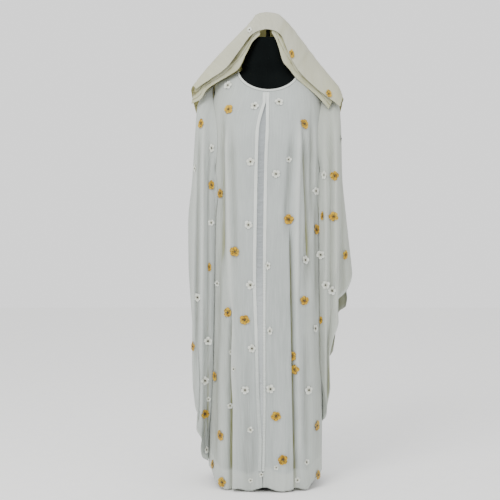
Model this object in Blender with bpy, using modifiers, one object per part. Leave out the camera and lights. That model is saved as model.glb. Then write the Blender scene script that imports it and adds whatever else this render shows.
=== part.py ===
"""Kaftan with its head veil on a limbless dress form: closed solids in metres, +Z up, front facing -Y.

The wearer's right is at -X. Every cloth piece is a thin wall over a surface P(u, v) that is worked out from the
sizes and tables below: u runs across the piece and v runs up it, or out along a sleeve.
"""

import math
from typing import NamedTuple

import bmesh
import bpy
import numpy as np
from mathutils import Vector
from mathutils.geometry import delaunay_2d_cdt

# Driving dimensions
WALL = 0.0015
SEAM_GAP = 0.0003
SIDE_GAP = 0.0011
BAND_GAP = 0.0012
BINDING_GAP = 0.0011
ARMHOLE_GAP = 0.0027
UNDERARM_HEIGHT = 1.000
SHOULDER_TIP_HEIGHT = 1.426
NECK_SIDE_HEIGHT = 1.468
NECK_HALF_WIDTH = 0.112
NECK_FRONT_HEIGHT = 1.385
NECK_BACK_HEIGHT = 1.448
BINDING_WIDTH = 0.009
BINDING_THICKNESS = 0.0024
BINDING_IN_GAP = 0.00088
BINDING_UP_GAP = 0.00077
BINDING_NARROWS = 0.75
BINDING_SIDE_RISE = 0.66
BINDING_FRONT_RISE = 0.9
BINDING_CREST = 0.09
BAND_WIDTH = 0.0115
NECK_SHARE = 0.42
INSET_DEPTH = 0.004
SQUARENESS = 3.1
FRONT_ARMHOLE_CUT = math.radians(30)
BACK_ARMHOLE_CUT = math.radians(26)
FORM_CLEARANCE = 0.0027
POLE_RADIUS = 0.015
BASE_RADIUS = 0.125
BASE_HEIGHT = 0.014
FLOWER_RADIUS = 0.0180
FLOWER_NOTCH = 0.0105
PETAL_HEIGHT = 0.0016
BEAD_RADIUS = 0.0042
BEAD_HEIGHT = 0.0045
VEIL_SWELL = 0.012
VEIL_CROWN_DEPTH = 0.034
VEIL_CROWN_DROP = 0.008
VEIL_LEVELS = (0.0, 0.30, 0.42, 0.62, 1.0)
VEIL_TUCK = 0.128
VEIL_TUCK_GAP = 0.0013
SLEEVE_TUCK = 0.040
SLEEVE_TUCK_PLACE = 0.17
SLEEVE_TUCK_RUN = 0.15
CUFF_SPREAD = 0.8
CUFF_SPREAD_RUN = 0.18
SLEEVE_HEAD = 0.14
CUFF_RUN = 0.45
TOP_BLEND = 0.22
FOLD_FADE = 0.10
CHEST_SPARE = 0.010
CHEST_RUN = 0.05
NECK_SPARE = 0.0015
NECK_SPARE_HEIGHT = 1.440
NECK_SPARE_RUN = 0.02
PETALS = 5
BODY_LOWER_ROWS = (0.0, 0.05, 0.16, 0.30, 0.44, 0.57, 0.68, 0.77, 0.83, 0.88)
TOP_ROWS = 4
TOP_ROWS_SHARE = 0.07
FLOWER_MARGIN = 1.12
FLOWER_INNER = 0.84
FLOWER_CLEARANCE = 1.22
SEARCH_COLUMNS = 99
SEARCH_ROWS = 160
FINIAL_TOP = 1.6765
FINIAL_RADIUS = 0.017
STEM_RADIUS = 0.008
STEM_FOOT_RADIUS = 0.014
FLANGE_RADIUS = 0.024
FLANGE_HEIGHT = 0.010
SOCKET_HEIGHT = 0.022
FORWARD = (0, -1, 0)
BACKWARD = (0, 1, 0)

# Finishes
CHIFFON = (0.62, 0.64, 0.60)
INSET_CLOTH = (0.45, 0.46, 0.50)
EDGING = (0.70, 0.71, 0.66)
VEIL_CLOTH = (0.64, 0.64, 0.56)
FORM_BLACK = (0.010, 0.012, 0.013)


class Section(NamedTuple):
    """One level of the body: half widths at the wearer's right and left, depths before and behind the middle."""

    height: float
    right: float
    left: float
    front: float
    back: float


BODY = (
    Section(0.000, 0.214, 0.193, 0.150, 0.152),
    Section(0.250, 0.211, 0.194, 0.148, 0.150),
    Section(0.500, 0.208, 0.195, 0.145, 0.148),
    Section(0.850, 0.206, 0.196, 0.140, 0.146),
    Section(1.050, 0.205, 0.196, 0.129, 0.136),
    Section(1.130, 0.205, 0.196, 0.130, 0.129),
    Section(1.200, 0.205, 0.196, 0.137, 0.124),
    Section(1.300, 0.204, 0.196, 0.117, 0.114),
    Section(1.370, 0.201, 0.196, 0.090, 0.094),
    Section(1.405, 0.197, 0.194, 0.076, 0.080),
    Section(1.426, 0.190, 0.190, 0.068, 0.073),
    Section(1.448, 0.152, 0.152, 0.060, 0.065),
    Section(1.468, 0.112, 0.112, 0.050, 0.056),
    Section(1.480, 0.098, 0.098, 0.046, 0.051),
)


class Form(NamedTuple):
    """One level of the dress form below the shoulders and of its neck: half width and depths."""

    height: float
    half: float
    front: float
    back: float


FORM_LOWER = (
    Form(0.800, 0.138, 0.098, 0.100),
    Form(0.812, 0.150, 0.106, 0.108),
    Form(0.900, 0.160, 0.110, 0.112),
    Form(1.060, 0.124, 0.086, 0.088),
    Form(1.200, 0.150, 0.114, 0.100),
    Form(1.290, 0.168, 0.102, 0.098),
)
FORM_SHOULDER_LEVELS = (1.350, 1.380, 1.405, 1.426, 1.437, 1.448, 1.457, 1.466, 1.478)
FORM_NECK = (
    Form(1.494, 0.095, 0.046, 0.048),
    Form(1.512, 0.087, 0.047, 0.048),
    Form(1.532, 0.079, 0.047, 0.047),
    Form(1.556, 0.066, 0.047, 0.047),
    Form(1.582, 0.056, 0.047, 0.047),
    Form(1.587, 0.052, 0.043, 0.043),
)


class Fold(NamedTuple):
    """A trough (depth under 0) or ridge of a panel: x at its top and foot, heights of both, half width, depth."""

    x_top: float
    x_foot: float
    top: float
    foot: float
    width: float
    depth: float


FRONT_FOLDS = (
    Fold(-0.160, -0.163, 1.300, 0.960, 0.016, -0.006),
    Fold(-0.146, -0.115, 1.240, 0.450, 0.017, 0.008),
    Fold(-0.172, -0.186, 0.860, 0.180, 0.014, -0.006),
    Fold(-0.112, -0.130, 0.720, 0.000, 0.014, -0.016),
    Fold(-0.150, -0.160, 0.500, 0.000, 0.016, 0.005),
    Fold(-0.092, -0.104, 0.600, 0.000, 0.017, 0.006),
    Fold(-0.060, -0.065, 0.300, 0.000, 0.020, -0.004),
    Fold(0.084, 0.066, 1.220, 1.060, 0.016, -0.005),
    Fold(0.104, 0.094, 1.240, 0.860, 0.017, 0.008),
    Fold(0.118, 0.136, 1.200, 0.940, 0.015, -0.006),
    Fold(0.151, 0.154, 1.300, 1.110, 0.015, -0.005),
    Fold(0.076, 0.091, 0.950, 0.060, 0.014, -0.016),
    Fold(0.100, 0.114, 0.860, 0.060, 0.016, 0.007),
    Fold(0.128, 0.126, 0.970, 0.220, 0.014, -0.004),
    Fold(0.165, 0.168, 1.020, 0.740, 0.014, -0.005),
    Fold(0.040, 0.045, 0.260, 0.000, 0.020, 0.005),
)
BACK_FOLDS = (
    Fold(-0.150, -0.162, 1.280, 0.600, 0.016, -0.006),
    Fold(-0.118, -0.132, 1.220, 0.000, 0.016, 0.008),
    Fold(-0.086, -0.100, 1.060, 0.000, 0.015, -0.014),
    Fold(-0.052, -0.058, 1.000, 0.000, 0.018, 0.007),
    Fold(-0.012, -0.008, 1.120, 0.200, 0.016, -0.008),
    Fold(0.026, 0.034, 1.080, 0.000, 0.018, 0.008),
    Fold(0.072, 0.086, 0.980, 0.000, 0.015, -0.014),
    Fold(0.112, 0.118, 1.180, 0.000, 0.016, 0.008),
    Fold(0.148, 0.154, 1.260, 0.420, 0.015, -0.006),
)
RIGHT_SLEEVE_FOLDS = (
    Fold(-0.226, -0.232, 1.340, 0.300, 0.014, 0.006),
    Fold(-0.246, -0.252, 1.280, 0.520, 0.013, -0.005),
    Fold(-0.208, -0.212, 1.200, 0.200, 0.012, -0.004),
)
LEFT_SLEEVE_FOLDS = (
    Fold(0.197, 0.201, 1.330, 0.360, 0.012, 0.005),
    Fold(0.215, 0.218, 1.320, 0.600, 0.012, -0.006),
    Fold(0.236, 0.242, 1.290, 0.640, 0.013, 0.006),
)


class HemPoint(NamedTuple):
    """Height of the hem at a place across the body."""

    x: float
    height: float


FRONT_HEM = (
    HemPoint(-0.203, 0.060),
    HemPoint(-0.180, 0.022),
    HemPoint(-0.148, 0.004),
    HemPoint(-0.105, 0.011),
    HemPoint(-0.070, 0.004),
    HemPoint(-0.015, 0.018),
    HemPoint(0.035, 0.005),
    HemPoint(0.069, 0.006),
    HemPoint(0.096, 0.012),
    HemPoint(0.131, 0.004),
    HemPoint(0.156, 0.030),
    HemPoint(0.190, 0.048),
)
BACK_HEM = (
    HemPoint(-0.203, 0.060),
    HemPoint(-0.160, 0.018),
    HemPoint(-0.100, 0.008),
    HemPoint(-0.040, 0.014),
    HemPoint(0.020, 0.006),
    HemPoint(0.080, 0.013),
    HemPoint(0.140, 0.012),
    HemPoint(0.190, 0.048),
)


class Opening(NamedTuple):
    """Where the two front edges lie beside the centre inset, at one height."""

    height: float
    right_edge: float
    left_edge: float


CENTRE = (
    Opening(0.000, -0.0213, -0.0210),
    Opening(0.086, -0.0236, -0.0204),
    Opening(0.150, -0.0280, -0.0190),
    Opening(0.315, -0.0375, -0.0165),
    Opening(0.555, -0.0444, -0.0170),
    Opening(0.727, -0.0496, -0.0165),
    Opening(1.000, -0.0461, -0.0135),
    Opening(1.170, -0.0427, -0.0101),
    Opening(1.240, -0.0400, -0.0065),
    Opening(1.376, -0.0060, -0.0035),
    Opening(1.386, -0.0033, -0.0030),
)


class SleeveRing(NamedTuple):
    """One ring of a sleeve: how far along it lies, its top point, its under point and its half depth."""

    along: float
    top_x: float
    top: float
    under_x: float
    under: float
    depth: float


RIGHT_SLEEVE = (
    SleeveRing(0.00, 0.1900, 1.426, 0.2055, 1.000, 0.060),
    SleeveRing(0.06, 0.2150, 1.409, 0.2130, 0.955, 0.070),
    SleeveRing(0.12, 0.2390, 1.381, 0.2170, 0.910, 0.078),
    SleeveRing(0.20, 0.2540, 1.339, 0.2200, 0.850, 0.085),
    SleeveRing(0.32, 0.2610, 1.250, 0.2210, 0.740, 0.090),
    SleeveRing(0.50, 0.2720, 1.080, 0.2220, 0.570, 0.092),
    SleeveRing(0.66, 0.2860, 0.930, 0.2230, 0.410, 0.090),
    SleeveRing(0.78, 0.2880, 0.800, 0.2240, 0.290, 0.086),
    SleeveRing(0.90, 0.2740, 0.630, 0.2280, 0.160, 0.080),
    SleeveRing(1.00, 0.2700, 0.480, 0.2360, 0.072, 0.074),
)
LEFT_SLEEVE = (
    SleeveRing(0.00, 0.1900, 1.426, 0.1960, 1.000, 0.060),
    SleeveRing(0.06, 0.2150, 1.407, 0.2035, 0.955, 0.070),
    SleeveRing(0.12, 0.2400, 1.378, 0.2070, 0.915, 0.078),
    SleeveRing(0.20, 0.2560, 1.336, 0.2085, 0.860, 0.085),
    SleeveRing(0.32, 0.2610, 1.250, 0.2090, 0.770, 0.090),
    SleeveRing(0.50, 0.2640, 1.110, 0.2090, 0.640, 0.090),
    SleeveRing(0.68, 0.2750, 0.980, 0.2095, 0.500, 0.085),
    SleeveRing(0.84, 0.2860, 0.860, 0.2105, 0.360, 0.080),
    SleeveRing(1.00, 0.2960, 0.755, 0.2125, 0.215, 0.074),
)


class Cascade(NamedTuple):
    """How far the cuff edge leans outwards at a share of the way up it, so that it falls in a zigzag."""

    share: float
    out: float


RIGHT_CUFF = (
    Cascade(0.00, -0.014),
    Cascade(0.08, 0.004),
    Cascade(0.30, 0.003),
    Cascade(0.50, 0.006),
    Cascade(0.75, 0.007),
    Cascade(1.00, 0.000),
)
LEFT_CUFF = (
    Cascade(0.00, -0.004),
    Cascade(0.10, 0.002),
    Cascade(0.30, -0.011),
    Cascade(0.48, -0.017),
    Cascade(0.60, -0.015),
    Cascade(0.70, -0.018),
    Cascade(0.84, 0.000),
    Cascade(1.00, 0.000),
)


class VeilRow(NamedTuple):
    """One section of the veil, from the wearer's right tip to the left: edge, crest, back and back hem."""

    edge: tuple[float, float, float]
    crest: tuple[float, float, float]
    back: tuple[float, float, float]
    hem: tuple[float, float, float]


VEIL = (
    VeilRow((-0.256, -0.072, 1.397), (-0.276, 0.000, 1.398), (-0.268, 0.090, 1.350), (-0.236, 0.130, 1.270)),
    VeilRow((-0.202, -0.080, 1.431), (-0.243, 0.000, 1.448), (-0.218, 0.092, 1.380), (-0.192, 0.150, 1.230)),
    VeilRow((-0.150, -0.080, 1.468), (-0.192, 0.000, 1.510), (-0.160, 0.096, 1.420), (-0.140, 0.164, 1.195)),
    VeilRow((-0.107, -0.076, 1.524), (-0.133, 0.000, 1.577), (-0.112, 0.096, 1.470), (-0.092, 0.172, 1.172)),
    VeilRow((-0.060, -0.066, 1.588), (-0.074, 0.000, 1.637), (-0.066, 0.094, 1.510), (-0.048, 0.176, 1.160)),
    VeilRow((-0.034, -0.060, 1.604), (-0.042, 0.000, 1.672), (-0.034, 0.090, 1.526), (-0.024, 0.178, 1.156)),
    VeilRow((-0.006, -0.058, 1.610), (-0.006, 0.000, 1.6785), (-0.004, 0.090, 1.530), (0.000, 0.178, 1.155)),
    VeilRow((0.022, -0.060, 1.604), (0.032, 0.000, 1.673), (0.028, 0.090, 1.526), (0.024, 0.178, 1.156)),
    VeilRow((0.044, -0.066, 1.587), (0.074, 0.000, 1.638), (0.062, 0.094, 1.508), (0.048, 0.176, 1.160)),
    VeilRow((0.075, -0.076, 1.513), (0.124, 0.000, 1.577), (0.108, 0.096, 1.466), (0.092, 0.172, 1.172)),
    VeilRow((0.102, -0.080, 1.464), (0.176, 0.000, 1.508), (0.156, 0.096, 1.414), (0.140, 0.164, 1.195)),
    VeilRow((0.163, -0.080, 1.401), (0.223, 0.000, 1.450), (0.212, 0.092, 1.374), (0.192, 0.150, 1.230)),
    VeilRow((0.222, -0.080, 1.356), (0.258, 0.000, 1.404), (0.250, 0.090, 1.350), (0.226, 0.138, 1.256)),
    VeilRow((0.252, -0.072, 1.334), (0.270, 0.000, 1.366), (0.266, 0.086, 1.330), (0.240, 0.128, 1.270)),
)


class UnderRow(NamedTuple):
    """One section of a turned-in veil layer: the edge that shows, and how far across the veil it is held."""

    edge: tuple[float, float, float]
    across: float


VEIL_UNDER_RIGHT = (
    UnderRow((-0.030, -0.053, 1.590), 0.400),
    UnderRow((-0.054, -0.057, 1.567), 0.345),
    UnderRow((-0.080, -0.062, 1.518), 0.280),
    UnderRow((-0.105, -0.066, 1.468), 0.225),
    UnderRow((-0.133, -0.068, 1.447), 0.175),
    UnderRow((-0.182, -0.068, 1.419), 0.105),
    UnderRow((-0.216, -0.068, 1.395), 0.060),
    UnderRow((-0.240, -0.064, 1.360), 0.030),
    UnderRow((-0.272, -0.056, 1.346), 0.008),
)
VEIL_UNDER_LEFT = (
    UnderRow((0.012, -0.053, 1.598), 0.515),
    UnderRow((0.024, -0.056, 1.578), 0.565),
    UnderRow((0.036, -0.060, 1.545), 0.620),
    UnderRow((0.051, -0.064, 1.494), 0.680),
    UnderRow((0.073, -0.067, 1.466), 0.725),
    UnderRow((0.094, -0.068, 1.439), 0.770),
    UnderRow((0.122, -0.068, 1.413), 0.820),
    UnderRow((0.168, -0.068, 1.375), 0.880),
    UnderRow((0.212, -0.068, 1.326), 0.930),
)


class Flower(NamedTuple):
    """A sewn-on flower: its place on the piece in the front or back view, its turn in degrees and its colour."""

    x: float
    z: float
    turn: float
    yellow: bool


FRONT_RIGHT_FLOWERS = (
    Flower(-0.139, 1.386, 10, False),
    Flower(-0.136, 1.309, 40, True),
    Flower(-0.055, 1.320, 0, False),
    Flower(-0.067, 1.128, 20, False),
    Flower(-0.072, 0.911, 55, False),
    Flower(-0.118, 0.820, 15, True),
    Flower(-0.072, 0.703, 30, False),
    Flower(-0.140, 0.612, 5, True),
    Flower(-0.084, 0.585, 60, True),
    Flower(-0.070, 0.489, 12, False),
    Flower(-0.154, 0.470, 33, False),
    Flower(-0.082, 0.346, 48, False),
    Flower(-0.166, 0.330, 20, True),
    Flower(-0.066, 0.212, 0, False),
    Flower(-0.160, 0.190, 25, True),
    Flower(-0.066, 0.042, 36, False),
    Flower(-0.152, 0.040, 10, True),
)
FRONT_LEFT_FLOWERS = (
    Flower(0.035, 1.334, 25, False),
    Flower(0.122, 1.258, 0, True),
    Flower(0.067, 1.136, 44, False),
    Flower(0.028, 1.086, 10, False),
    Flower(0.152, 1.028, 30, False),
    Flower(0.066, 0.928, 15, True),
    Flower(0.156, 0.897, 50, True),
    Flower(0.124, 0.791, 5, False),
    Flower(0.012, 0.771, 35, False),
    Flower(0.122, 0.655, 22, True),
    Flower(0.156, 0.558, 64, False),
    Flower(0.014, 0.547, 18, False),
    Flower(0.056, 0.462, 40, True),
    Flower(0.014, 0.348, 0, False),
    Flower(0.137, 0.345, 28, False),
    Flower(0.024, 0.256, 52, True),
    Flower(0.158, 0.224, 12, True),
    Flower(0.048, 0.108, 30, True),
    Flower(0.012, 0.050, 8, False),
    Flower(0.160, 0.066, 20, True),
)
BACK_FLOWERS = (
    Flower(-0.110, 1.330, 12, True),
    Flower(0.040, 1.352, 30, False),
    Flower(0.128, 1.290, 50, True),
    Flower(-0.034, 1.226, 0, False),
    Flower(0.074, 1.150, 20, True),
    Flower(-0.128, 1.092, 40, False),
    Flower(0.012, 1.010, 15, True),
    Flower(0.134, 0.960, 60, False),
    Flower(-0.072, 0.880, 25, True),
    Flower(0.052, 0.800, 5, False),
    Flower(-0.146, 0.740, 35, False),
    Flower(0.140, 0.670, 48, True),
    Flower(-0.020, 0.620, 18, False),
    Flower(-0.100, 0.500, 10, True),
    Flower(0.060, 0.470, 28, False),
    Flower(0.146, 0.380, 42, True),
    Flower(-0.030, 0.320, 55, True),
    Flower(-0.150, 0.250, 22, False),
    Flower(0.052, 0.180, 33, True),
    Flower(-0.060, 0.080, 8, False),
    Flower(0.140, 0.090, 45, False),
)
RIGHT_SLEEVE_FLOWERS = (
    Flower(-0.236, 1.255, 10, True),
    Flower(-0.222, 1.120, 35, False),
    Flower(-0.228, 0.990, 20, True),
    Flower(-0.218, 0.820, 0, False),
    Flower(-0.246, 0.652, 50, False),
    Flower(-0.228, 0.498, 15, True),
    Flower(-0.236, 0.358, 30, False),
    Flower(-0.234, 0.236, 44, True),
)
LEFT_SLEEVE_FLOWERS = (
    Flower(0.236, 1.204, 25, False),
    Flower(0.228, 1.080, 5, True),
    Flower(0.234, 0.933, 40, True),
    Flower(0.262, 0.800, 15, True),
    Flower(0.222, 0.690, 30, False),
    Flower(0.216, 0.520, 50, False),
)
RIGHT_SLEEVE_BACK_FLOWERS = (
    Flower(-0.238, 1.180, 20, False),
    Flower(-0.236, 0.860, 45, True),
    Flower(-0.240, 0.560, 5, False),
)
LEFT_SLEEVE_BACK_FLOWERS = (
    Flower(0.232, 1.140, 35, True),
    Flower(0.240, 0.860, 10, False),
    Flower(0.222, 0.560, 55, True),
)
VEIL_FLOWERS = (
    Flower(-0.067, 1.607, 0, False),
    Flower(0.088, 1.520, 20, True),
    Flower(-0.152, 1.490, 40, True),
    Flower(-0.240, 1.412, 15, False),
    Flower(0.214, 1.396, 30, True),
)
VEIL_BACK_FLOWERS = (
    Flower(0.060, 1.400, 10, True),
    Flower(-0.090, 1.340, 35, False),
    Flower(0.010, 1.250, 50, True),
    Flower(0.150, 1.290, 25, False),
)


def through(places, values, at):
    """The values at the given places on a smooth curve through all rows, without overshoot.

    values holds a number for each row, or an array for each row with one number for each place asked for.
    """
    places = np.asarray(places, float)
    at = np.asarray(at, float)
    shape = at.shape
    at = np.clip(at.ravel(), places[0], places[-1])
    values = np.asarray(values, float)
    if values.ndim == 1:
        values = values[:, None]
    values = np.broadcast_to(values, (len(places), at.size))
    widths = np.diff(places)[:, None]
    slopes = np.diff(values, axis=0) / widths
    tangents = np.empty_like(values)
    tangents[0] = slopes[0]
    tangents[-1] = slopes[-1]
    product = slopes[:-1] * slopes[1:]
    total = slopes[:-1] + slopes[1:]
    tangents[1:-1] = np.where(product > 0, 2 * product / np.where(total == 0, 1, total), 0)
    index = np.clip(np.searchsorted(places, at, side="right") - 1, 0, len(widths) - 1)
    each = np.arange(at.size)
    width = widths[index, 0]
    share = (at - places[index]) / width
    rest = 1 - share
    start = values[index, each] * (1 + 2 * share) * rest**2
    start += tangents[index, each] * width * share * rest**2
    end = values[index + 1, each] * (3 - 2 * share) * share**2
    end -= tangents[index + 1, each] * width * share**2 * rest
    return (start + end).reshape(shape)


def column(rows, name, at, key="height"):
    """One named column of a table, read at any place of its key column."""
    return through([getattr(row, key) for row in rows], [getattr(row, name) for row in rows], at)


def smoothstep(value):
    value = np.clip(value, 0, 1)
    return value * value * (3 - 2 * value)


def fold_depth(folds, x, z):
    """How far the folds of a table push the cloth outwards at x and z."""
    total = np.zeros(np.broadcast(x, z).shape)
    for fold in folds:
        share = np.clip((z - fold.foot) / (fold.top - fold.foot), 0, 1)
        middle = fold.x_foot + (fold.x_top - fold.x_foot) * share
        held = smoothstep((fold.top - z) / FOLD_FADE)
        if fold.foot > 0:
            held = held * smoothstep((z - fold.foot + FOLD_FADE) / FOLD_FADE)
        total += fold.depth * held * np.exp(-(((x - middle) / fold.width) ** 2))
    return total


def body_half(side, z):
    """Half width of the body at a height, on the wearer's right (side -1) or left (side 1)."""
    right = column(BODY, "right", z)
    left = column(BODY, "left", z)
    return np.where(np.asarray(side) < 0, right, left)


def body_point(x, z, facing):
    """A point of the body cloth at x, before the folds. facing is -1 in front, 1 behind."""
    depth = column(BODY, "front" if facing < 0 else "back", z)
    share = np.clip(np.abs(x) / body_half(np.sign(x), z), 0, 1)
    bow = np.sqrt(1 - share**SQUARENESS)
    return np.stack([x, facing * (SIDE_GAP / 2 + depth * bow), z + 0 * x], axis=-1)


def draped(x, z, facing, folds):
    """A point of the folded body cloth: the folds push it out from the middle of the body."""
    share = np.clip(np.abs(x) / body_half(np.sign(x), z), 0, 1)
    level = np.sqrt(1 - share**2)
    push = fold_depth(folds, x, z) * level**0.5
    point = body_point(x, z, facing)
    point[..., 0] += push * share * np.sign(x)
    point[..., 1] += push * level * facing
    return point


def armhole_x(side, z, facing):
    """x of the armhole's seam at a height, and of the side seam below the armhole."""
    cut = FRONT_ARMHOLE_CUT if facing < 0 else BACK_ARMHOLE_CUT
    share = np.clip((z - UNDERARM_HEIGHT) / (SHOULDER_TIP_HEIGHT - UNDERARM_HEIGHT), 0, 1)
    angle = math.pi / 2 - cut * np.sin(math.pi * share) ** 0.8
    return body_half(side, np.minimum(z, SHOULDER_TIP_HEIGHT)) * np.sin(angle) * side


def body_panel(side, facing, folds, hem, inner_edge, neck_low):
    """The surface of a front half, or of a back half, from the centre line or inner edge to side and armhole."""

    def surface(u, v):
        across = np.sin(u * math.pi / 2)
        start = float(inner_edge(NECK_FRONT_HEIGHT)) * side
        neck_turn = np.clip(u / NECK_SHARE, 0, 1)
        neck_x = start + (NECK_HALF_WIDTH - start) * np.sin(neck_turn * math.pi / 2)
        shoulder = np.clip((u - NECK_SHARE) / (1 - NECK_SHARE), 0, 1)
        shoulder_z = NECK_SIDE_HEIGHT + (SHOULDER_TIP_HEIGHT - NECK_SIDE_HEIGHT) * shoulder
        drop = np.sqrt(np.clip(1 - (neck_x / NECK_HALF_WIDTH) ** 2, 0, 1))
        top = np.where(u > NECK_SHARE, shoulder_z, NECK_SIDE_HEIGHT - (NECK_SIDE_HEIGHT - neck_low) * drop)
        top_x = np.where(u > NECK_SHARE, body_half(side, shoulder_z), neck_x)
        foot_x = inner_edge(0.0 * u) + (body_half(side, 0.0) * side - inner_edge(0.0 * u)) * across
        foot = column(hem, "height", foot_x, key="x")
        z = foot + (top - foot) * v
        inner = inner_edge(z)
        x = inner + (armhole_x(side, z, facing) - inner) * across
        blend = smoothstep((v - 1 + TOP_BLEND) / TOP_BLEND)
        x = x + (inner + (top_x - start) * side - x) * blend
        return draped(x, z, facing, folds)

    return surface


def right_edge(z):
    return column(CENTRE, "right_edge", z)


def left_edge(z):
    return column(CENTRE, "left_edge", z)


def no_edge(z):
    return 0.0 * np.asarray(z, float)


def centre_height(v):
    """Height of a row of the front panels at their inner edges."""
    foot = float(column(FRONT_HEM, "height", float(left_edge(0.0)), key="x"))
    return foot + (NECK_FRONT_HEIGHT - foot) * v


def inset_surface(u, v):
    """The centre inset between the two front edges, hollowed a little."""
    z = centre_height(v)
    start = right_edge(z) + SEAM_GAP
    end = left_edge(z) - SEAM_GAP
    x = start + (end - start) * u
    point = draped(x, z, -1, FRONT_FOLDS)
    room = np.clip((end - start) / 0.02, 0, 1)
    point[..., 1] += INSET_DEPTH * room * np.sin(math.pi * u) ** 2
    return point


def band_surface(middle):
    """A band's middle surface, over the front's own points."""

    def surface(u, v):
        z = centre_height(v)
        return draped(middle(z) + (u - 0.5) * BAND_WIDTH, z, -1, FRONT_FOLDS)

    return surface


def left_band_middle(z):
    return left_edge(z) + 0.001


def right_band_middle(z):
    return np.minimum(right_edge(z), left_band_middle(z) - BAND_WIDTH - 2 * SEAM_GAP)


def sleeve_surface(side, rings, folds, cuff):
    """A sleeve as a closed tube: u runs from the underarm up the front, over the top and down the back."""

    def surface(u, v):
        turn = 2 * math.pi * u
        share = (1 - np.cos(turn)) / 2
        facing = np.where(np.sin(turn) >= 0, -1.0, 1.0)
        top_x = column(rings, "top_x", v, key="along")
        top = column(rings, "top", v, key="along")
        under_x = column(rings, "under_x", v, key="along")
        under = column(rings, "under", v, key="along")
        depth = column(rings, "depth", v, key="along")
        swing = np.abs(np.sin(turn))
        hollow = np.exp(-(((share - SLEEVE_TUCK_PLACE) / SLEEVE_TUCK_PLACE) ** 2)) * swing
        spread = CUFF_SPREAD * smoothstep((v - 1 + CUFF_SPREAD_RUN) / CUFF_SPREAD_RUN)
        tuck = SLEEVE_TUCK * smoothstep(v / SLEEVE_TUCK_RUN) * hollow * (1 - spread)
        lean = column(cuff, "out", share, key="share") * smoothstep((v - 1 + CUFF_RUN) / CUFF_RUN)
        x = under_x + (top_x - under_x) * share - tuck + lean
        y = facing * depth * swing**0.75
        z = under + (top - under) * share
        push = fold_depth(folds, x * side, z) * smoothstep(v / SLEEVE_TUCK_RUN) * swing
        y = y + facing * push
        arm_z = UNDERARM_HEIGHT + (SHOULDER_TIP_HEIGHT - UNDERARM_HEIGHT) * share
        front = body_point(armhole_x(side, arm_z, -1), arm_z, -1)
        back = body_point(armhole_x(side, arm_z, 1), arm_z, 1)
        arm = np.where((facing < 0)[..., None], front, back)
        arm_x = arm[..., 0] * side + ARMHOLE_GAP
        arm_y = arm[..., 1] - facing * SIDE_GAP / 2
        near = 1 - smoothstep(v / SLEEVE_HEAD)
        x = x + (arm_x - x) * near
        y = y + (arm_y - y) * near
        z = z + (arm_z - z) * near
        return np.stack([x * side, y, z], axis=-1)

    return surface


def veil_surface(u, v):
    """The veil: u runs from the right tip over the crown to the left tip, v from the front edge to the back hem."""
    steps = np.linspace(0, 1, len(VEIL))
    shape = np.broadcast(u, v).shape
    u = np.broadcast_to(u, shape).ravel()
    v = np.broadcast_to(v, shape).ravel()
    point = np.zeros((u.size, 3))
    for axis, step in enumerate((0.0, VEIL_CROWN_DEPTH, -VEIL_CROWN_DROP)):
        edge, crest, back, hem = (
            through(steps, [getattr(row, name)[axis] for row in VEIL], u) for name in VeilRow._fields
        )
        point[:, axis] = through(VEIL_LEVELS, [edge, crest, crest + step, back, hem], v)
    swell = np.sin(math.pi * np.clip(v / VEIL_LEVELS[1], 0, 1))
    point[:, 1:] += np.stack([-swell, swell], axis=-1) * VEIL_SWELL
    return point.reshape(shape + (3,))


def under_surface(rows):
    """A turned-in layer: u runs down its edge, v from the edge to the line where it lies close under the veil."""

    def surface(u, v):
        steps = np.linspace(0, 1, len(rows))
        edge = np.stack([through(steps, [row.edge[axis] for row in rows], u) for axis in range(3)], axis=-1)
        across = through(steps, [row.across for row in rows], u)
        down = np.full(across.shape, VEIL_TUCK)
        inward = normals(veil_surface, across, down)
        inward *= -np.sign(inward[..., 2:])
        held = veil_surface(across, down) + inward * (WALL + VEIL_TUCK_GAP)
        share = np.asarray(v, float)[..., None]
        return edge + (held - edge) * share

    return surface


def normals(surface, u, v, tube=False):
    """Unit normals of a surface, by small steps to each side. On a tube, u goes on past its ends."""
    step = 1e-4
    u_low = (u - step) % 1 if tube else np.clip(u - step, 0, 1)
    u_high = (u + step) % 1 if tube else np.clip(u + step, 0, 1)
    v_low = np.clip(v - step, 0, 1)
    v_high = np.clip(v + step, 0, 1)
    across = surface(u_high, v) - surface(u_low, v)
    along = surface(u, v_high) - surface(u, v_low)
    found = np.cross(across, along)
    length = np.linalg.norm(found, axis=-1, keepdims=True)
    return found / np.maximum(length, 1e-12)


def nearest_place(surface, flower, facing):
    """The (u, v) at which a surface has the flower's x and z, on the side of it that faces the viewer."""
    across, along = np.meshgrid(
        np.linspace(0.01, 0.99, SEARCH_COLUMNS), np.linspace(0.01, 0.99, SEARCH_ROWS), indexing="ij"
    )
    points = surface(across.ravel(), along.ravel())
    distance = (points[:, 0] - flower.x) ** 2 + (points[:, 2] - flower.z) ** 2
    if facing:
        distance = distance + np.where(points[:, 1] * facing > 0, 0, 1)
    best = int(np.argmin(distance))
    return float(across.ravel()[best]), float(along.ravel()[best])


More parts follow.
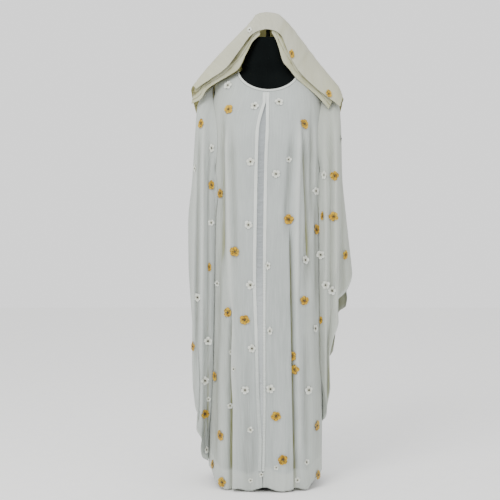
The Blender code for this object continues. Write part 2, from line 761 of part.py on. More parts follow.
def flower_place(surface, flower, facing):
    """The middle of a flower in (u, v) and its petal outline, with a tip and a notch by turns."""
    u, v = nearest_place(surface, flower, facing)
    step = 0.004
    here = surface(np.array([u]), np.array([v]))[0]
    by_u = (surface(np.array([u + step]), np.array([v]))[0] - here) / step
    by_v = (surface(np.array([u]), np.array([v + step]))[0] - here) / step
    inverse = np.linalg.pinv(np.stack([by_u, by_v], axis=1))
    right = by_u / np.linalg.norm(by_u)
    up = np.cross(np.cross(by_u, by_v), right)
    up /= np.linalg.norm(up)
    reach_u, reach_v = np.abs(inverse @ np.stack([right, up], axis=1)).sum(axis=1) * FLOWER_RADIUS * FLOWER_MARGIN
    u = float(np.clip(u, reach_u, 1 - reach_u))
    v = float(np.clip(v, reach_v, 1 - reach_v))
    outline = []
    for index in range(2 * PETALS):
        angle = math.radians(flower.turn) + math.pi * index / PETALS
        radius = FLOWER_NOTCH if index % 2 else FLOWER_RADIUS
        du, dv = inverse @ (right * (radius * math.cos(angle)) + up * (radius * math.sin(angle)))
        outline.append((u + du, v + dv))
    return (u, v), outline


def inside_outline(point, outline, growth=1.0):
    """Whether a (u, v) lies inside a closed outline that is first grown about its middle."""
    centre = np.mean(outline, axis=0)
    grown = centre + (np.asarray(outline) - centre) * growth
    inside = False
    previous = grown[-1]
    for current in grown:
        crosses = (current[1] > point[1]) != (previous[1] > point[1])
        if crosses:
            span = previous[1] - current[1]
            cut = current[0] + (point[1] - current[1]) * (previous[0] - current[0]) / span
            inside ^= bool(point[0] < cut)
        previous = current
    return inside


def sheet_plan(us, vs, outlines):
    """Places and triangles of a sheet in (u, v), with a hole for each flower, and each hole's own places."""
    places = []
    edges = []
    for u in us:
        for v in vs:
            on_rim = u in (us[0], us[-1]) or v in (vs[0], vs[-1])
            if on_rim or not any(inside_outline((u, v), outline, FLOWER_CLEARANCE) for outline in outlines):
                places.append((u, v))
    holes = []
    for outline in outlines:
        hole = [len(places) + index for index in range(len(outline))]
        edges += list(zip(hole, hole[1:] + hole[:1]))
        places += outline
        holes.append(hole)
    along_u = np.arange(len(us), dtype=float)
    along_v = np.arange(len(vs), dtype=float)
    flat = [Vector((float(np.interp(u, us, along_u)), float(np.interp(v, vs, along_v)))) for u, v in places]
    verts, _, faces, origins, _, _ = delaunay_2d_cdt(flat, edges, [], 0, 1e-7)
    place_of = []
    for vert, origin in zip(verts, origins):
        if not origin:
            places.append((float(np.interp(vert.x, along_u, us)), float(np.interp(vert.y, along_v, vs))))
        place_of.append(origin[0] if origin else len(places) - 1)
    triangles = []
    for face in faces:
        corners = [place_of[index] for index in face]
        middle = np.mean([places[index] for index in corners], axis=0)
        if not any(inside_outline(middle, outline) for outline in outlines):
            triangles.append(corners)
    return places, triangles, holes


def face_outwards(mesh):
    """Makes the faces of a closed mesh agree and point out of it."""
    bmesh.ops.recalc_face_normals(mesh, faces=mesh.faces)
    if mesh.calc_volume(signed=True) < 0:
        bmesh.ops.reverse_faces(mesh, faces=mesh.faces)


def wall_solid(surface, us, vs, flowers=(), wall=WALL, lift=0.0, tube=False, outward=None):
    """A closed wall over a surface, with flowers raised in its outer points over a plain inside."""
    us = [float(u) for u in us]
    vs = [float(v) for v in vs]
    blooms = [flower_place(surface, flower, facing) for flower, facing in flowers]
    places, triangles, holes = sheet_plan(us, vs, [outline for _, outline in blooms])
    centres = [len(places) + index for index in range(len(blooms))]
    places += [centre for centre, _ in blooms]
    u, v = np.array(places).T
    outwards = normals(surface, u, v, tube)
    if outward is not None:
        middle = normals(surface, np.array([0.27]), np.array([0.5]))
        outwards = outwards * np.sign(middle[0] @ np.array(outward))
    mesh = bmesh.new()
    outer_points = surface(u, v) + outwards * (lift + wall / 2)
    inner_points = surface(u, v) + outwards * (lift - wall / 2)
    outer = [mesh.verts.new(point) for point in outer_points]
    inner = [mesh.verts.new(point) for point in inner_points]
    for corners in triangles:
        mesh.faces.new([outer[index] for index in corners])
        mesh.faces.new([inner[index] for index in reversed(corners)])
    for hole, centre in zip(holes, centres):
        raise_flower(mesh, outer, outer_points, outwards[centre], hole, centre)
        for start, end in zip(hole, hole[1:] + hole[:1]):
            mesh.faces.new((inner[end], inner[start], inner[centre]))
    at_place = {place: index for index, place in enumerate(places)}
    sides = [[(a, vs[0]) for a in us], [(a, vs[-1]) for a in us]]
    if not tube:
        sides += [[(us[0], b) for b in vs], [(us[-1], b) for b in vs]]
    for line in sides:
        rim = [at_place[place] for place in line]
        for start, end in zip(rim, rim[1:]):
            mesh.faces.new((outer[start], outer[end], inner[end], inner[start]))
    loose = [vert for vert in mesh.verts if not vert.link_faces]
    bmesh.ops.delete(mesh, geom=loose, context="VERTS")
    bmesh.ops.remove_doubles(mesh, verts=mesh.verts, dist=1e-7)
    face_outwards(mesh)
    return mesh


def raise_flower(mesh, outer, points, outward, hole, centre):
    """Petals that stand on a hole's outline in the outer sheet, with a bead in their middle."""
    middle = points[centre]
    raised = []
    bead = []
    for step, index in enumerate(hole):
        spoke = points[index] - middle
        raised.append(mesh.verts.new(middle + spoke * FLOWER_INNER + outward * PETAL_HEIGHT))
        if step % 2 == 0:
            spoke_share = BEAD_RADIUS / FLOWER_RADIUS
            bead.append(mesh.verts.new(middle + spoke * spoke_share + outward * PETAL_HEIGHT))
    top = mesh.verts.new(middle + outward * BEAD_HEIGHT)
    for step in range(len(hole)):
        following = (step + 1) % len(hole)
        here = step // 2
        beside = (here + 1) % len(bead)
        mesh.faces.new((outer[hole[step]], outer[hole[following]], raised[following], raised[step]))
        if step % 2 == 0:
            mesh.faces.new((raised[step], raised[following], bead[here]))
            mesh.faces.new((bead[here], bead[beside], top))
        else:
            mesh.faces.new((raised[step], raised[following], bead[beside]))
            mesh.faces.new((raised[step], bead[beside], bead[here]))


def material(name, colour, roughness):
    made = bpy.data.materials.new(name)
    made.use_nodes = True
    shader = made.node_tree.nodes["Principled BSDF"]
    shader.inputs["Base Color"].default_value = (*colour, 1.0)
    shader.inputs["Roughness"].default_value = roughness
    shader.inputs["Metallic"].default_value = 0.0
    return made


def add_object(name, mesh, finish, collection):
    data = bpy.data.meshes.new(name)
    mesh.to_mesh(data)
    mesh.free()
    data.shade_smooth()
    data.set_sharp_from_angle(angle=math.radians(50))
    data.materials.append(finish)
    made = bpy.data.objects.new(name, data)
    collection.objects.link(made)
    return made


def ring_solid(rings):
    """A closed solid lofted through level rings of equal point count, with a flat cap at each end."""
    mesh = bmesh.new()
    rows = [[mesh.verts.new(point) for point in ring] for ring in rings]
    count = len(rows[0])
    for low, high in zip(rows, rows[1:]):
        for index in range(count):
            after = (index + 1) % count
            mesh.faces.new((low[index], low[after], high[after], high[index]))
    mesh.faces.new(rows[0][::-1])
    mesh.faces.new(rows[-1])
    face_outwards(mesh)
    return mesh


def form_ring(half_right, half_left, front, back, z, count=26):
    ring = []
    for index in range(count):
        angle = 2 * math.pi * index / count
        share = math.sin(angle)
        half = half_left if share > 0 else half_right
        depth = -front if math.cos(angle) > 0 else back
        bow = math.sqrt(max(0.0, 1 - abs(share) ** SQUARENESS))
        ring.append((half * share, depth * bow, z))
    return ring


def form_torso():
    """The dress form from hip to neck: its shoulders follow the cloth, just under it."""
    rings = [form_ring(row.half, row.half, row.front, row.back, row.height) for row in FORM_LOWER]
    for z in FORM_SHOULDER_LEVELS:
        sizes = [float(column(BODY, name, z)) - FORM_CLEARANCE for name in ("right", "left", "front", "back")]
        slope = np.clip((z - FORM_SHOULDER_LEVELS[0]) / CHEST_RUN, 0, 1)
        neck = np.clip((z - NECK_SPARE_HEIGHT) / NECK_SPARE_RUN, 0, 1)
        spare = CHEST_SPARE * (1 - slope) + NECK_SPARE * neck
        rings.append(form_ring(*[size - spare for size in sizes], z - FORM_CLEARANCE))
    rings += [form_ring(row.half, row.half, row.front, row.back, row.height) for row in FORM_NECK]
    return ring_solid(rings)


def turned(name, profile, finish, collection, steps=32):
    """A turned piece from (radius, height) points, top to bottom, by a Screw about the upright axis."""
    data = bpy.data.meshes.new(name)
    verts = [(radius, 0.0, height) for radius, height in profile]
    data.from_pydata(verts, [(index, index + 1) for index in range(len(verts) - 1)], [])
    data.materials.append(finish)
    made = bpy.data.objects.new(name, data)
    collection.objects.link(made)
    screw = made.modifiers.new("Turn", "SCREW")
    screw.axis = "Z"
    screw.steps = steps
    screw.render_steps = steps
    screw.use_merge_vertices = True
    screw.merge_threshold = 0.00005
    screw.use_smooth_shade = False
    return made


def binding_solid(count=40):
    """The neck binding: a ring that goes on from the neckline, up the same surface."""
    rings = []
    for index in range(count):
        turn = 2 * math.pi * index / count
        facing = -1 if math.cos(turn) > 0 else 1
        pair = []
        for rise in (0.0, 1.0):
            half = NECK_HALF_WIDTH - BINDING_IN_GAP - rise * BINDING_WIDTH * BINDING_NARROWS
            side_z = NECK_SIDE_HEIGHT + BINDING_UP_GAP + rise * BINDING_WIDTH * BINDING_SIDE_RISE
            centre_z = (NECK_FRONT_HEIGHT if facing < 0 else NECK_BACK_HEIGHT) + BINDING_GAP
            centre_z += rise * BINDING_WIDTH * BINDING_FRONT_RISE
            x = half * math.sin(turn)
            z = side_z - (side_z - centre_z) * abs(math.cos(turn))
            pair.append(body_point(np.array([x]), np.array([z]), facing)[0])
        rings.append(pair)
    mesh = bmesh.new()
    loops = []
    for index, (low, high) in enumerate(rings):
        before = rings[index - 1]
        after = rings[(index + 1) % count]
        along = after[0] - before[0]
        rise = high - low
        out = np.cross(along, rise)
        out /= np.linalg.norm(out)
        centre = np.array([0.0, 0.0, low[2]])
        if out @ (low - centre) < 0:
            out = -out
        inner = -WALL / 2
        outer = inner + BINDING_THICKNESS
        corners = (
            low + out * inner,
            high + out * inner,
            high + rise * BINDING_CREST + out * (inner + outer) / 2,
            high + out * outer,
            low + out * outer,
        )
        loops.append([mesh.verts.new(corner) for corner in corners])
    for index in range(count):
        here = loops[index]
        there = loops[(index + 1) % count]
        for side in range(len(here)):
            after = (side + 1) % len(here)
            mesh.faces.new((here[side], here[after], there[after], there[side]))
    face_outwards(mesh)
    return mesh


def steps_between(*runs):
    """Places along a piece from (start, end, count) runs, each place once."""
    places = [np.linspace(start, end, count, endpoint=False) for start, end, count in runs]
    return np.concatenate(places + [[runs[-1][1]]])


def clear_scene():
    for item in list(bpy.data.objects):
        bpy.data.objects.remove(item, do_unlink=True)


def back_surface():
    """Both halves of the back as one surface, from the wearer's right side to the left."""
    right_half = body_panel(-1, 1, BACK_FOLDS, BACK_HEM, no_edge, NECK_BACK_HEIGHT)
    left_half = body_panel(1, 1, BACK_FOLDS, BACK_HEM, no_edge, NECK_BACK_HEIGHT)

    def surface(u, v):
        right = right_half(np.clip(1 - 2 * u, 0, 1), v)
        left = left_half(np.clip(2 * u - 1, 0, 1), v)
        return np.where(np.asarray(u < 0.5)[..., None], right, left)

    return surface


def facing_viewer(flowers, facing=0):
    """Each flower with the side it lies on: -1 in front, 1 behind, 0 where the piece has one side only."""
    return [(flower, facing) for flower in flowers]


def body_rows():
    """Rows of the body panels, from hem to top, closer together as they near the shoulder seam."""
    upper = 1 - TOP_ROWS_SHARE * (1 - np.arange(TOP_ROWS + 1) / TOP_ROWS) ** 2
    return np.concatenate([BODY_LOWER_ROWS, upper])


def build_body(kaftan):
    rows = body_rows()
    centre_rows = rows[1:-2]
    columns = np.linspace(0, 1, 17)
    right_front = body_panel(-1, -1, FRONT_FOLDS, FRONT_HEM, right_edge, NECK_FRONT_HEIGHT)
    left_front = body_panel(1, -1, FRONT_FOLDS, FRONT_HEM, left_edge, NECK_FRONT_HEIGHT)
    mesh = wall_solid(right_front, columns, rows, facing_viewer(FRONT_RIGHT_FLOWERS), outward=FORWARD)
    add_object("front_right", mesh, material("front_right", CHIFFON, 0.75), kaftan)
    mesh = wall_solid(left_front, columns, rows, facing_viewer(FRONT_LEFT_FLOWERS), outward=FORWARD)
    add_object("front_left", mesh, material("front_left", CHIFFON, 0.75), kaftan)
    spread = np.linspace(0, 1, 31)
    mesh = wall_solid(back_surface(), spread, rows, facing_viewer(BACK_FLOWERS), outward=BACKWARD)
    add_object("back", mesh, material("back", CHIFFON, 0.75), kaftan)
    mesh = wall_solid(inset_surface, np.linspace(0, 1, 5), centre_rows, outward=FORWARD)
    add_object("centre_inset", mesh, material("centre_inset", INSET_CLOTH, 0.8), kaftan)
    lift = WALL + BAND_GAP
    for name, middle in (("band_right", right_band_middle), ("band_left", left_band_middle)):
        mesh = wall_solid(band_surface(middle), np.linspace(0, 1, 3), centre_rows, lift=lift, outward=FORWARD)
        add_object(name, mesh, material(name, EDGING, 0.7), kaftan)
    add_object("neck_binding", binding_solid(), material("neck_binding", EDGING, 0.7), kaftan)


def build_sleeves(kaftan):
    around = np.linspace(0, 1, 26)
    along = steps_between((0.0, 0.2, 5), (0.2, 0.6, 4), (0.6, 1.0, 5))
    plans = (
        (
            "sleeve_right", -1, RIGHT_SLEEVE, RIGHT_SLEEVE_FOLDS, RIGHT_CUFF,
            facing_viewer(RIGHT_SLEEVE_FLOWERS, -1) + facing_viewer(RIGHT_SLEEVE_BACK_FLOWERS, 1),
        ),
        (
            "sleeve_left", 1, LEFT_SLEEVE, LEFT_SLEEVE_FOLDS, LEFT_CUFF,
            facing_viewer(LEFT_SLEEVE_FLOWERS, -1) + facing_viewer(LEFT_SLEEVE_BACK_FLOWERS, 1),
        ),
    )
    for name, side, rings, folds, cuff, flowers in plans:
        surface = sleeve_surface(side, rings, folds, cuff)
        mesh = wall_solid(surface, around, along, flowers, tube=True, outward=FORWARD)
        add_object(name, mesh, material(name, CHIFFON, 0.75), kaftan)


def build_veil(kaftan):
    across = np.linspace(0, 1, 25)
    down = steps_between((0.0, 0.32, 5), (0.32, 1.0, 7))
    flowers = facing_viewer(VEIL_FLOWERS, -1) + facing_viewer(VEIL_BACK_FLOWERS, 1)
    mesh = wall_solid(veil_surface, across, down, flowers, outward=(0, 0, 1))
    add_object("veil", mesh, material("veil", VEIL_CLOTH, 0.75), kaftan)
    for name, rows in (("veil_under_right", VEIL_UNDER_RIGHT), ("veil_under_left", VEIL_UNDER_LEFT)):
        mesh = wall_solid(under_surface(rows), np.linspace(0, 1, 17), np.linspace(0, 1, 4), outward=FORWARD)
        add_object(name, mesh, material(name, VEIL_CLOTH, 0.75), kaftan)


def build_form(kaftan):
    add_object("dress_form_torso", form_torso(), material("dress_form_torso", FORM_BLACK, 0.6), kaftan)
    neck_top = FORM_NECK[-1].height
    finial = (
        (0.0, FINIAL_TOP),
        (STEM_RADIUS, FINIAL_TOP - 0.0008),
        (FINIAL_RADIUS * 0.82, FINIAL_TOP - 0.0036),
        (FINIAL_RADIUS, FINIAL_TOP - 0.0090),
        (FINIAL_RADIUS * 0.82, FINIAL_TOP - 0.0150),
        (STEM_RADIUS, FINIAL_TOP - 0.0200),
        (STEM_RADIUS, neck_top + 0.0060),
        (STEM_FOOT_RADIUS, neck_top + SEAM_GAP),
        (0.0, neck_top + SEAM_GAP),
    )
    turned("dress_form_finial", finial, material("dress_form_finial", FORM_BLACK, 0.45), kaftan, steps=20)
    pole_top = FORM_LOWER[0].height - SEAM_GAP
    socket_top = BASE_HEIGHT + SOCKET_HEIGHT
    pole = (
        (0.0, pole_top),
        (FLANGE_RADIUS, pole_top),
        (FLANGE_RADIUS, pole_top - FLANGE_HEIGHT),
        (POLE_RADIUS, pole_top - FLANGE_HEIGHT - 0.002),
        (POLE_RADIUS, socket_top + SEAM_GAP),
        (0.0, socket_top + SEAM_GAP),
    )
    turned("dress_form_pole", pole, material("dress_form_pole", FORM_BLACK, 0.35), kaftan, steps=16)
    base = (
        (0.0, socket_top),
        (FLANGE_RADIUS, socket_top),
        (FLANGE_RADIUS + 0.002, BASE_HEIGHT + 0.006),
        (BASE_RADIUS * 0.75, BASE_HEIGHT),
        (BASE_RADIUS - 0.004, BASE_HEIGHT * 0.7),
        (BASE_RADIUS, BASE_HEIGHT * 0.5),
        (BASE_RADIUS, 0.0),
        (0.0, 0.0),
    )
    turned("dress_form_base", base, material("dress_form_base", FORM_BLACK, 0.35), kaftan, steps=36)


def build():
    clear_scene()
    kaftan = bpy.data.collections.new("kaftan_on_dress_form")
    bpy.context.scene.collection.children.link(kaftan)
    build_body(kaftan)
    build_sleeves(kaftan)
    build_veil(kaftan)
    build_form(kaftan)


build()
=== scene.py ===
"""Looks of the kaftan with its head veil on a limbless dress form.

Metres, +Z up, front facing -Y, the wearer's right at -X. Each cloth piece is a fine shell on the form of its
solid: a surface P(u, v) worked out from the sizes and tables below, with creases, hems, flowers and stitches.
"""

import logging
import math
from dataclasses import dataclass, field
from enum import Enum
from typing import Callable, NamedTuple

import bmesh
import bpy
import numpy as np
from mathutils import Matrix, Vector
from mathutils.bvhtree import BVHTree


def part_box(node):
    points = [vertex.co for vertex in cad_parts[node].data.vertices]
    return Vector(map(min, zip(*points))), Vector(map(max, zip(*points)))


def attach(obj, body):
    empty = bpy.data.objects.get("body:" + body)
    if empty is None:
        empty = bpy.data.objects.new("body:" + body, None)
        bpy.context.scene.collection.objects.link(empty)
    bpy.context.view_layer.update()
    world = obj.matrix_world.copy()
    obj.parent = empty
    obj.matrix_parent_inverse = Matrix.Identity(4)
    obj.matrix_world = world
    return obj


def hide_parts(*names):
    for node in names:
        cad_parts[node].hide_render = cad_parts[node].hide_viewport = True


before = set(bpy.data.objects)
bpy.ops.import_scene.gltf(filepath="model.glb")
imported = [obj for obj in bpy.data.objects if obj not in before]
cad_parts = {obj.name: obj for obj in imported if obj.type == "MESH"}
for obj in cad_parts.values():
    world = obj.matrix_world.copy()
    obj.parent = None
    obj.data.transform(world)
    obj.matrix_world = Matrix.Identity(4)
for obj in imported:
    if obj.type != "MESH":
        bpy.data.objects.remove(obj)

LOG = logging.getLogger("kaftan")

# Gaps between neighbouring pieces.
SEAM_GAP = 0.0003
SIDE_GAP = 0.0011
ARMHOLE_GAP = 0.0012

# The neck, shoulders and armholes, and how the body's cloth runs into them.
UNDERARM_HEIGHT = 1.000
SHOULDER_TIP_HEIGHT = 1.426
NECK_SIDE_HEIGHT = 1.468
NECK_HALF_WIDTH = 0.112
NECK_FRONT_HEIGHT = 1.385
NECK_BACK_HEIGHT = 1.448
NECK_SHARE = 0.42
FRONT_ARMHOLE_CUT = math.radians(30)
BACK_ARMHOLE_CUT = math.radians(26)
TOP_BLEND = 0.22
FOLD_FADE = 0.15
SQUARENESS = 3.1
BAND_WIDTH = 0.0115

# The dress form's edges stay sharp past this angle.
SHARP_ANGLE = math.radians(42)

# The veil's levels from front edge to back hem, the step of its crown and its swell.
VEIL_LEVELS = (0.0, 0.30, 0.42, 0.62, 1.0)
VEIL_CROWN = (0.0, 0.034, -0.008)
VEIL_SWELL = 0.012

# The tuck in front of and behind the sleeve's inner edge, its head at the armhole and its cuff.
SLEEVE_TUCK = 0.052
SLEEVE_TUCK_PLACE = 0.17
SLEEVE_TUCK_CLIMB = 0.07
SLEEVE_TUCK_RUN = 0.07
SLEEVE_REST = 0.003
CUFF_SPREAD = 0.8
CUFF_SPREAD_RUN = 0.18
SLEEVE_HEAD = 0.11
CUFF_RUN = 0.45

# The front picture: lens and sensor in millimetres, width, and the x that flowers past an edge move towards.
PHOTO_LENS = 60.0
PHOTO_SENSOR = 36.0
PHOTO_SIZE = 500.0
PHOTO_MIDDLE = 265.0

# Short names for the types in the hints.
Array = np.ndarray
Colour = tuple[float, float, float]
Material = bpy.types.Material
Mesh = bpy.types.Mesh
Node = bpy.types.Node
Piece = bpy.types.Object
Socket = bpy.types.NodeSocket
Tree = bpy.types.NodeTree


def srgb(red: float, green: float, blue: float) -> Colour:
    """Turns 0 to 255 display values into linear light.

    Args:
        red, green, blue: The display values.

    Returns:
        The linear colour.
    """
    parts = [value / 255 for value in (red, green, blue)]
    return tuple(p / 12.92 if p <= 0.04045 else ((p + 0.055) / 1.055) ** 2.4 for p in parts)


class Side(Enum):
    """The wearer's sides, as the sign of x."""

    RIGHT = -1
    LEFT = 1


class Face(Enum):
    """Front and back of the garment, as the sign of y."""

    FRONT = -1
    BACK = 1


class Bloom(Enum):
    """Kinds of sewn-on flower."""

    WHITE = "white"
    YELLOW = "yellow"
    BUD = "bud"


class Section(NamedTuple):
    """One level of the body: half widths at the wearer's right and left, depths in front and behind."""

    height: float
    right: float
    left: float
    front: float
    back: float


class Form(NamedTuple):
    """One level of the dress form: height, half width, depths in front and behind."""

    height: float
    half: float
    front: float
    back: float


class Fold(NamedTuple):
    """A trough (depth under 0) or raised fold (depth over 0): x at top and foot, both heights, width at low
    and high x, depth.
    """

    x_top: float
    x_foot: float
    top: float
    foot: float
    low_width: float
    high_width: float
    depth: float


class HemPoint(NamedTuple):
    """Height of the hem at a place across the body."""

    x: float
    height: float


class Opening(NamedTuple):
    """Where the two front edges lie beside the centre inset, at one height."""

    height: float
    right_edge: float
    left_edge: float


class SleeveRing(NamedTuple):
    """One ring of a sleeve: place along it, top point, under point and half depth."""

    along: float
    top_x: float
    top: float
    under_x: float
    under: float
    depth: float


class Cascade(NamedTuple):
    """How far the cuff's front and back edges lean outwards at a share of the way up it."""

    share: float
    front: float
    back: float


class VeilRow(NamedTuple):
    """One section of the veil, from the wearer's right tip to the left: edge, crest, back and back hem."""

    edge: tuple[float, float, float]
    crest: tuple[float, float, float]
    back: tuple[float, float, float]
    hem: tuple[float, float, float]


class UnderRow(NamedTuple):
    """One section of a turned-in veil layer: the edge that shows, and how far across the veil it is held."""

    edge: tuple[float, float, float]
    across: float


class Flower(NamedTuple):
    """A sewn-on flower: its place, turn in degrees, kind, size and how far it is squeezed sideways.

    The place is across and down in the 500 by 500 front picture, or in metres across and up on the back.
    """

    across: float
    along: float
    turn: float
    bloom: Bloom
    size: float = 1.0
    narrow: float = 1.0


def table(kind: type, *values: tuple) -> tuple:
    """A table: one row of the given kind for each tuple of values."""
    return tuple(kind(*row) for row in values)


BODY = table(
    Section,
    (0.0, 0.214, 0.193, 0.15, 0.152), (0.25, 0.211, 0.194, 0.148, 0.15), (0.5, 0.208, 0.195, 0.145, 0.148),
    (0.85, 0.206, 0.196, 0.14, 0.146), (1.05, 0.205, 0.196, 0.129, 0.136), (1.13, 0.205, 0.196, 0.13, 0.129),
    (1.2, 0.205, 0.196, 0.137, 0.124), (1.3, 0.204, 0.196, 0.117, 0.114), (1.37, 0.201, 0.196, 0.09, 0.094),
    (1.405, 0.197, 0.194, 0.076, 0.08), (1.426, 0.19, 0.19, 0.068, 0.073), (1.448, 0.152, 0.152, 0.06, 0.065),
    (1.468, 0.112, 0.112, 0.05, 0.056), (1.48, 0.098, 0.098, 0.046, 0.051),
)

FRONT_FOLDS = table(
    Fold,
    (-0.161, -0.162, 1.36, 0.86, 0.01, 0.013, -0.0125), (-0.132, -0.122, 1.3, 0.86, 0.01, 0.014, -0.007),
    (-0.147, -0.117, 1.32, 0.42, 0.016, 0.007, 0.012), (-0.172, -0.176, 0.88, 0.58, 0.007, 0.009, -0.007),
    (-0.183, -0.187, 0.56, 0.18, 0.008, 0.01, -0.008), (-0.158, -0.164, 0.52, 0.1, 0.014, 0.012, 0.005),
    (-0.129, -0.1335, 0.7, 0.0, 0.0085, 0.007, -0.018), (-0.1185, -0.1225, 0.6, 0.0, 0.005, 0.012, 0.007),
    (-0.074, -0.078, 0.52, 0.0, 0.012, 0.01, -0.003), (-0.056, -0.064, 0.3, 0.0, 0.018, 0.018, -0.004),
    (0.088, 0.064, 1.29, 0.98, 0.013, 0.011, -0.0085), (0.107, 0.094, 1.33, 0.82, 0.011, 0.009, 0.011),
    (0.117, 0.138, 1.29, 0.84, 0.006, 0.011, -0.0115), (0.151, 0.152, 1.36, 1.05, 0.008, 0.007, -0.009),
    (0.164, 0.162, 1.31, 1.15, 0.006, 0.007, 0.005), (0.074, 0.09, 0.96, 0.06, 0.004, 0.007, -0.014),
    (0.087, 0.104, 0.88, 0.06, 0.006, 0.014, 0.009), (0.092, 0.104, 0.17, 0.0, 0.008, 0.014, -0.013),
    (0.127, 0.127, 0.98, 0.78, 0.007, 0.009, -0.006), (0.128, 0.127, 0.58, 0.2, 0.01, 0.01, -0.005),
    (0.144, 0.148, 0.84, 0.12, 0.01, 0.012, 0.004), (0.167, 0.168, 1.04, 0.74, 0.007, 0.008, -0.008),
    (0.04, 0.046, 0.42, 0.0, 0.018, 0.016, 0.004), (-0.031, -0.0325, 0.52, 0.1, 0.0028, 0.0028, -0.0025),
)

BACK_FOLDS = table(
    Fold,
    (-0.15, -0.162, 1.28, 0.6, 0.014, 0.012, -0.008), (-0.118, -0.132, 1.22, 0.0, 0.009, 0.013, 0.01),
    (-0.086, -0.1, 1.06, 0.0, 0.006, 0.011, -0.022), (-0.072, -0.086, 1.04, 0.0, 0.006, 0.014, 0.008),
    (-0.052, -0.058, 1.0, 0.0, 0.014, 0.01, 0.007), (-0.012, -0.008, 1.12, 0.2, 0.01, 0.013, -0.009),
    (0.026, 0.034, 1.08, 0.0, 0.016, 0.012, 0.009), (0.052, 0.06, 0.72, 0.1, 0.008, 0.01, -0.006),
    (0.072, 0.086, 0.98, 0.0, 0.01, 0.006, -0.022), (0.088, 0.101, 0.94, 0.0, 0.006, 0.012, 0.008),
    (0.112, 0.118, 1.18, 0.0, 0.012, 0.014, 0.007), (0.148, 0.154, 1.26, 0.42, 0.01, 0.012, -0.008),
)

RIGHT_SLEEVE_FOLDS = table(
    Fold,
    (-0.226, -0.233, 1.35, 0.3, 0.009, 0.006, 0.007), (-0.242, -0.252, 1.3, 0.52, 0.006, 0.008, -0.007),
    (-0.256, -0.266, 1.22, 0.56, 0.008, 0.006, 0.004), (-0.209, -0.214, 1.3, 0.2, 0.004, 0.004, -0.0058),
    (-0.222, -0.226, 0.7, 0.16, 0.005, 0.006, -0.005),
)
LEFT_SLEEVE_FOLDS = table(
    Fold,
    (0.198, 0.202, 1.34, 0.36, 0.007, 0.006, 0.007), (0.2185, 0.219, 1.34, 0.56, 0.005, 0.006, -0.0065),
    (0.232, 0.238, 1.32, 0.64, 0.007, 0.01, 0.009), (0.254, 0.264, 1.2, 0.7, 0.007, 0.008, -0.005),
    (0.209, 0.21, 0.64, 0.26, 0.005, 0.006, -0.006),
)

FRONT_HEM = table(
    HemPoint,
    (-0.203, 0.06), (-0.18, 0.022), (-0.148, 0.004), (-0.105, 0.011), (-0.07, 0.004), (-0.015, 0.018),
    (0.035, 0.005), (0.069, 0.006), (0.096, 0.012), (0.131, 0.004), (0.156, 0.03), (0.19, 0.048),
)

BACK_HEM = table(
    HemPoint,
    (-0.203, 0.06), (-0.16, 0.018), (-0.1, 0.008), (-0.04, 0.014), (0.02, 0.006), (0.08, 0.013),
    (0.14, 0.012), (0.19, 0.048),
)

CENTRE = table(
    Opening,
    (0.0, -0.0213, -0.021), (0.086, -0.0236, -0.0204), (0.15, -0.028, -0.019), (0.315, -0.0375, -0.0165),
    (0.555, -0.0444, -0.017), (0.727, -0.0496, -0.0165), (1.0, -0.0461, -0.0135), (1.17, -0.0427, -0.0101),
    (1.24, -0.04, -0.0065), (1.376, -0.006, -0.0035), (1.386, -0.0033, -0.003),
)

RIGHT_SLEEVE = table(
    SleeveRing,
    (0.0, 0.19, 1.426, 0.2055, 1.0, 0.06), (0.06, 0.215, 1.409, 0.213, 0.955, 0.07),
    (0.12, 0.239, 1.381, 0.217, 0.91, 0.078), (0.2, 0.254, 1.339, 0.22, 0.85, 0.085),
    (0.32, 0.261, 1.25, 0.221, 0.74, 0.09), (0.5, 0.272, 1.08, 0.222, 0.57, 0.092),
    (0.66, 0.286, 0.93, 0.223, 0.41, 0.09), (0.78, 0.285, 0.8, 0.224, 0.29, 0.086),
    (0.9, 0.2705, 0.63, 0.228, 0.16, 0.08), (1.0, 0.27, 0.48, 0.236, 0.072, 0.074),
)

LEFT_SLEEVE = table(
    SleeveRing,
    (0.0, 0.19, 1.426, 0.196, 1.0, 0.06), (0.06, 0.215, 1.407, 0.2035, 0.955, 0.07),
    (0.12, 0.24, 1.378, 0.207, 0.915, 0.078), (0.2, 0.256, 1.336, 0.2085, 0.86, 0.085),
    (0.32, 0.261, 1.25, 0.209, 0.77, 0.09), (0.5, 0.264, 1.11, 0.209, 0.64, 0.09),
    (0.68, 0.275, 0.98, 0.2095, 0.5, 0.085), (0.84, 0.286, 0.86, 0.2105, 0.36, 0.08),
    (1.0, 0.296, 0.755, 0.2125, 0.215, 0.074),
)

RIGHT_CUFF = table(
    Cascade,
    (0.0, -0.012, -0.006), (0.06, 0.001, 0.002), (0.118, 0.006, 0.001), (0.228, -0.006, 0.004),
    (0.314, 0.007, -0.003), (0.412, -0.004, 0.003), (0.534, 0.005, -0.002), (0.706, 0.0065, 0.006),
    (0.85, 0.004, 0.003), (1.0, 0.0, 0.0),
)
LEFT_CUFF = table(
    Cascade,
    (0.0, -0.006, -0.002), (0.119, -0.0066, -0.004), (0.226, -0.012, -0.01), (0.319, -0.027, -0.018),
    (0.4, -0.033, -0.02), (0.452, -0.036, -0.008), (0.559, -0.031, -0.01), (0.66, -0.022, -0.02),
    (0.726, -0.034, -0.008), (0.755, -0.055, 0.012), (0.806, -0.04, 0.012), (0.872, -0.009, 0.0),
    (0.972, 0.005, 0.005), (1.0, 0.005, 0.005),
)

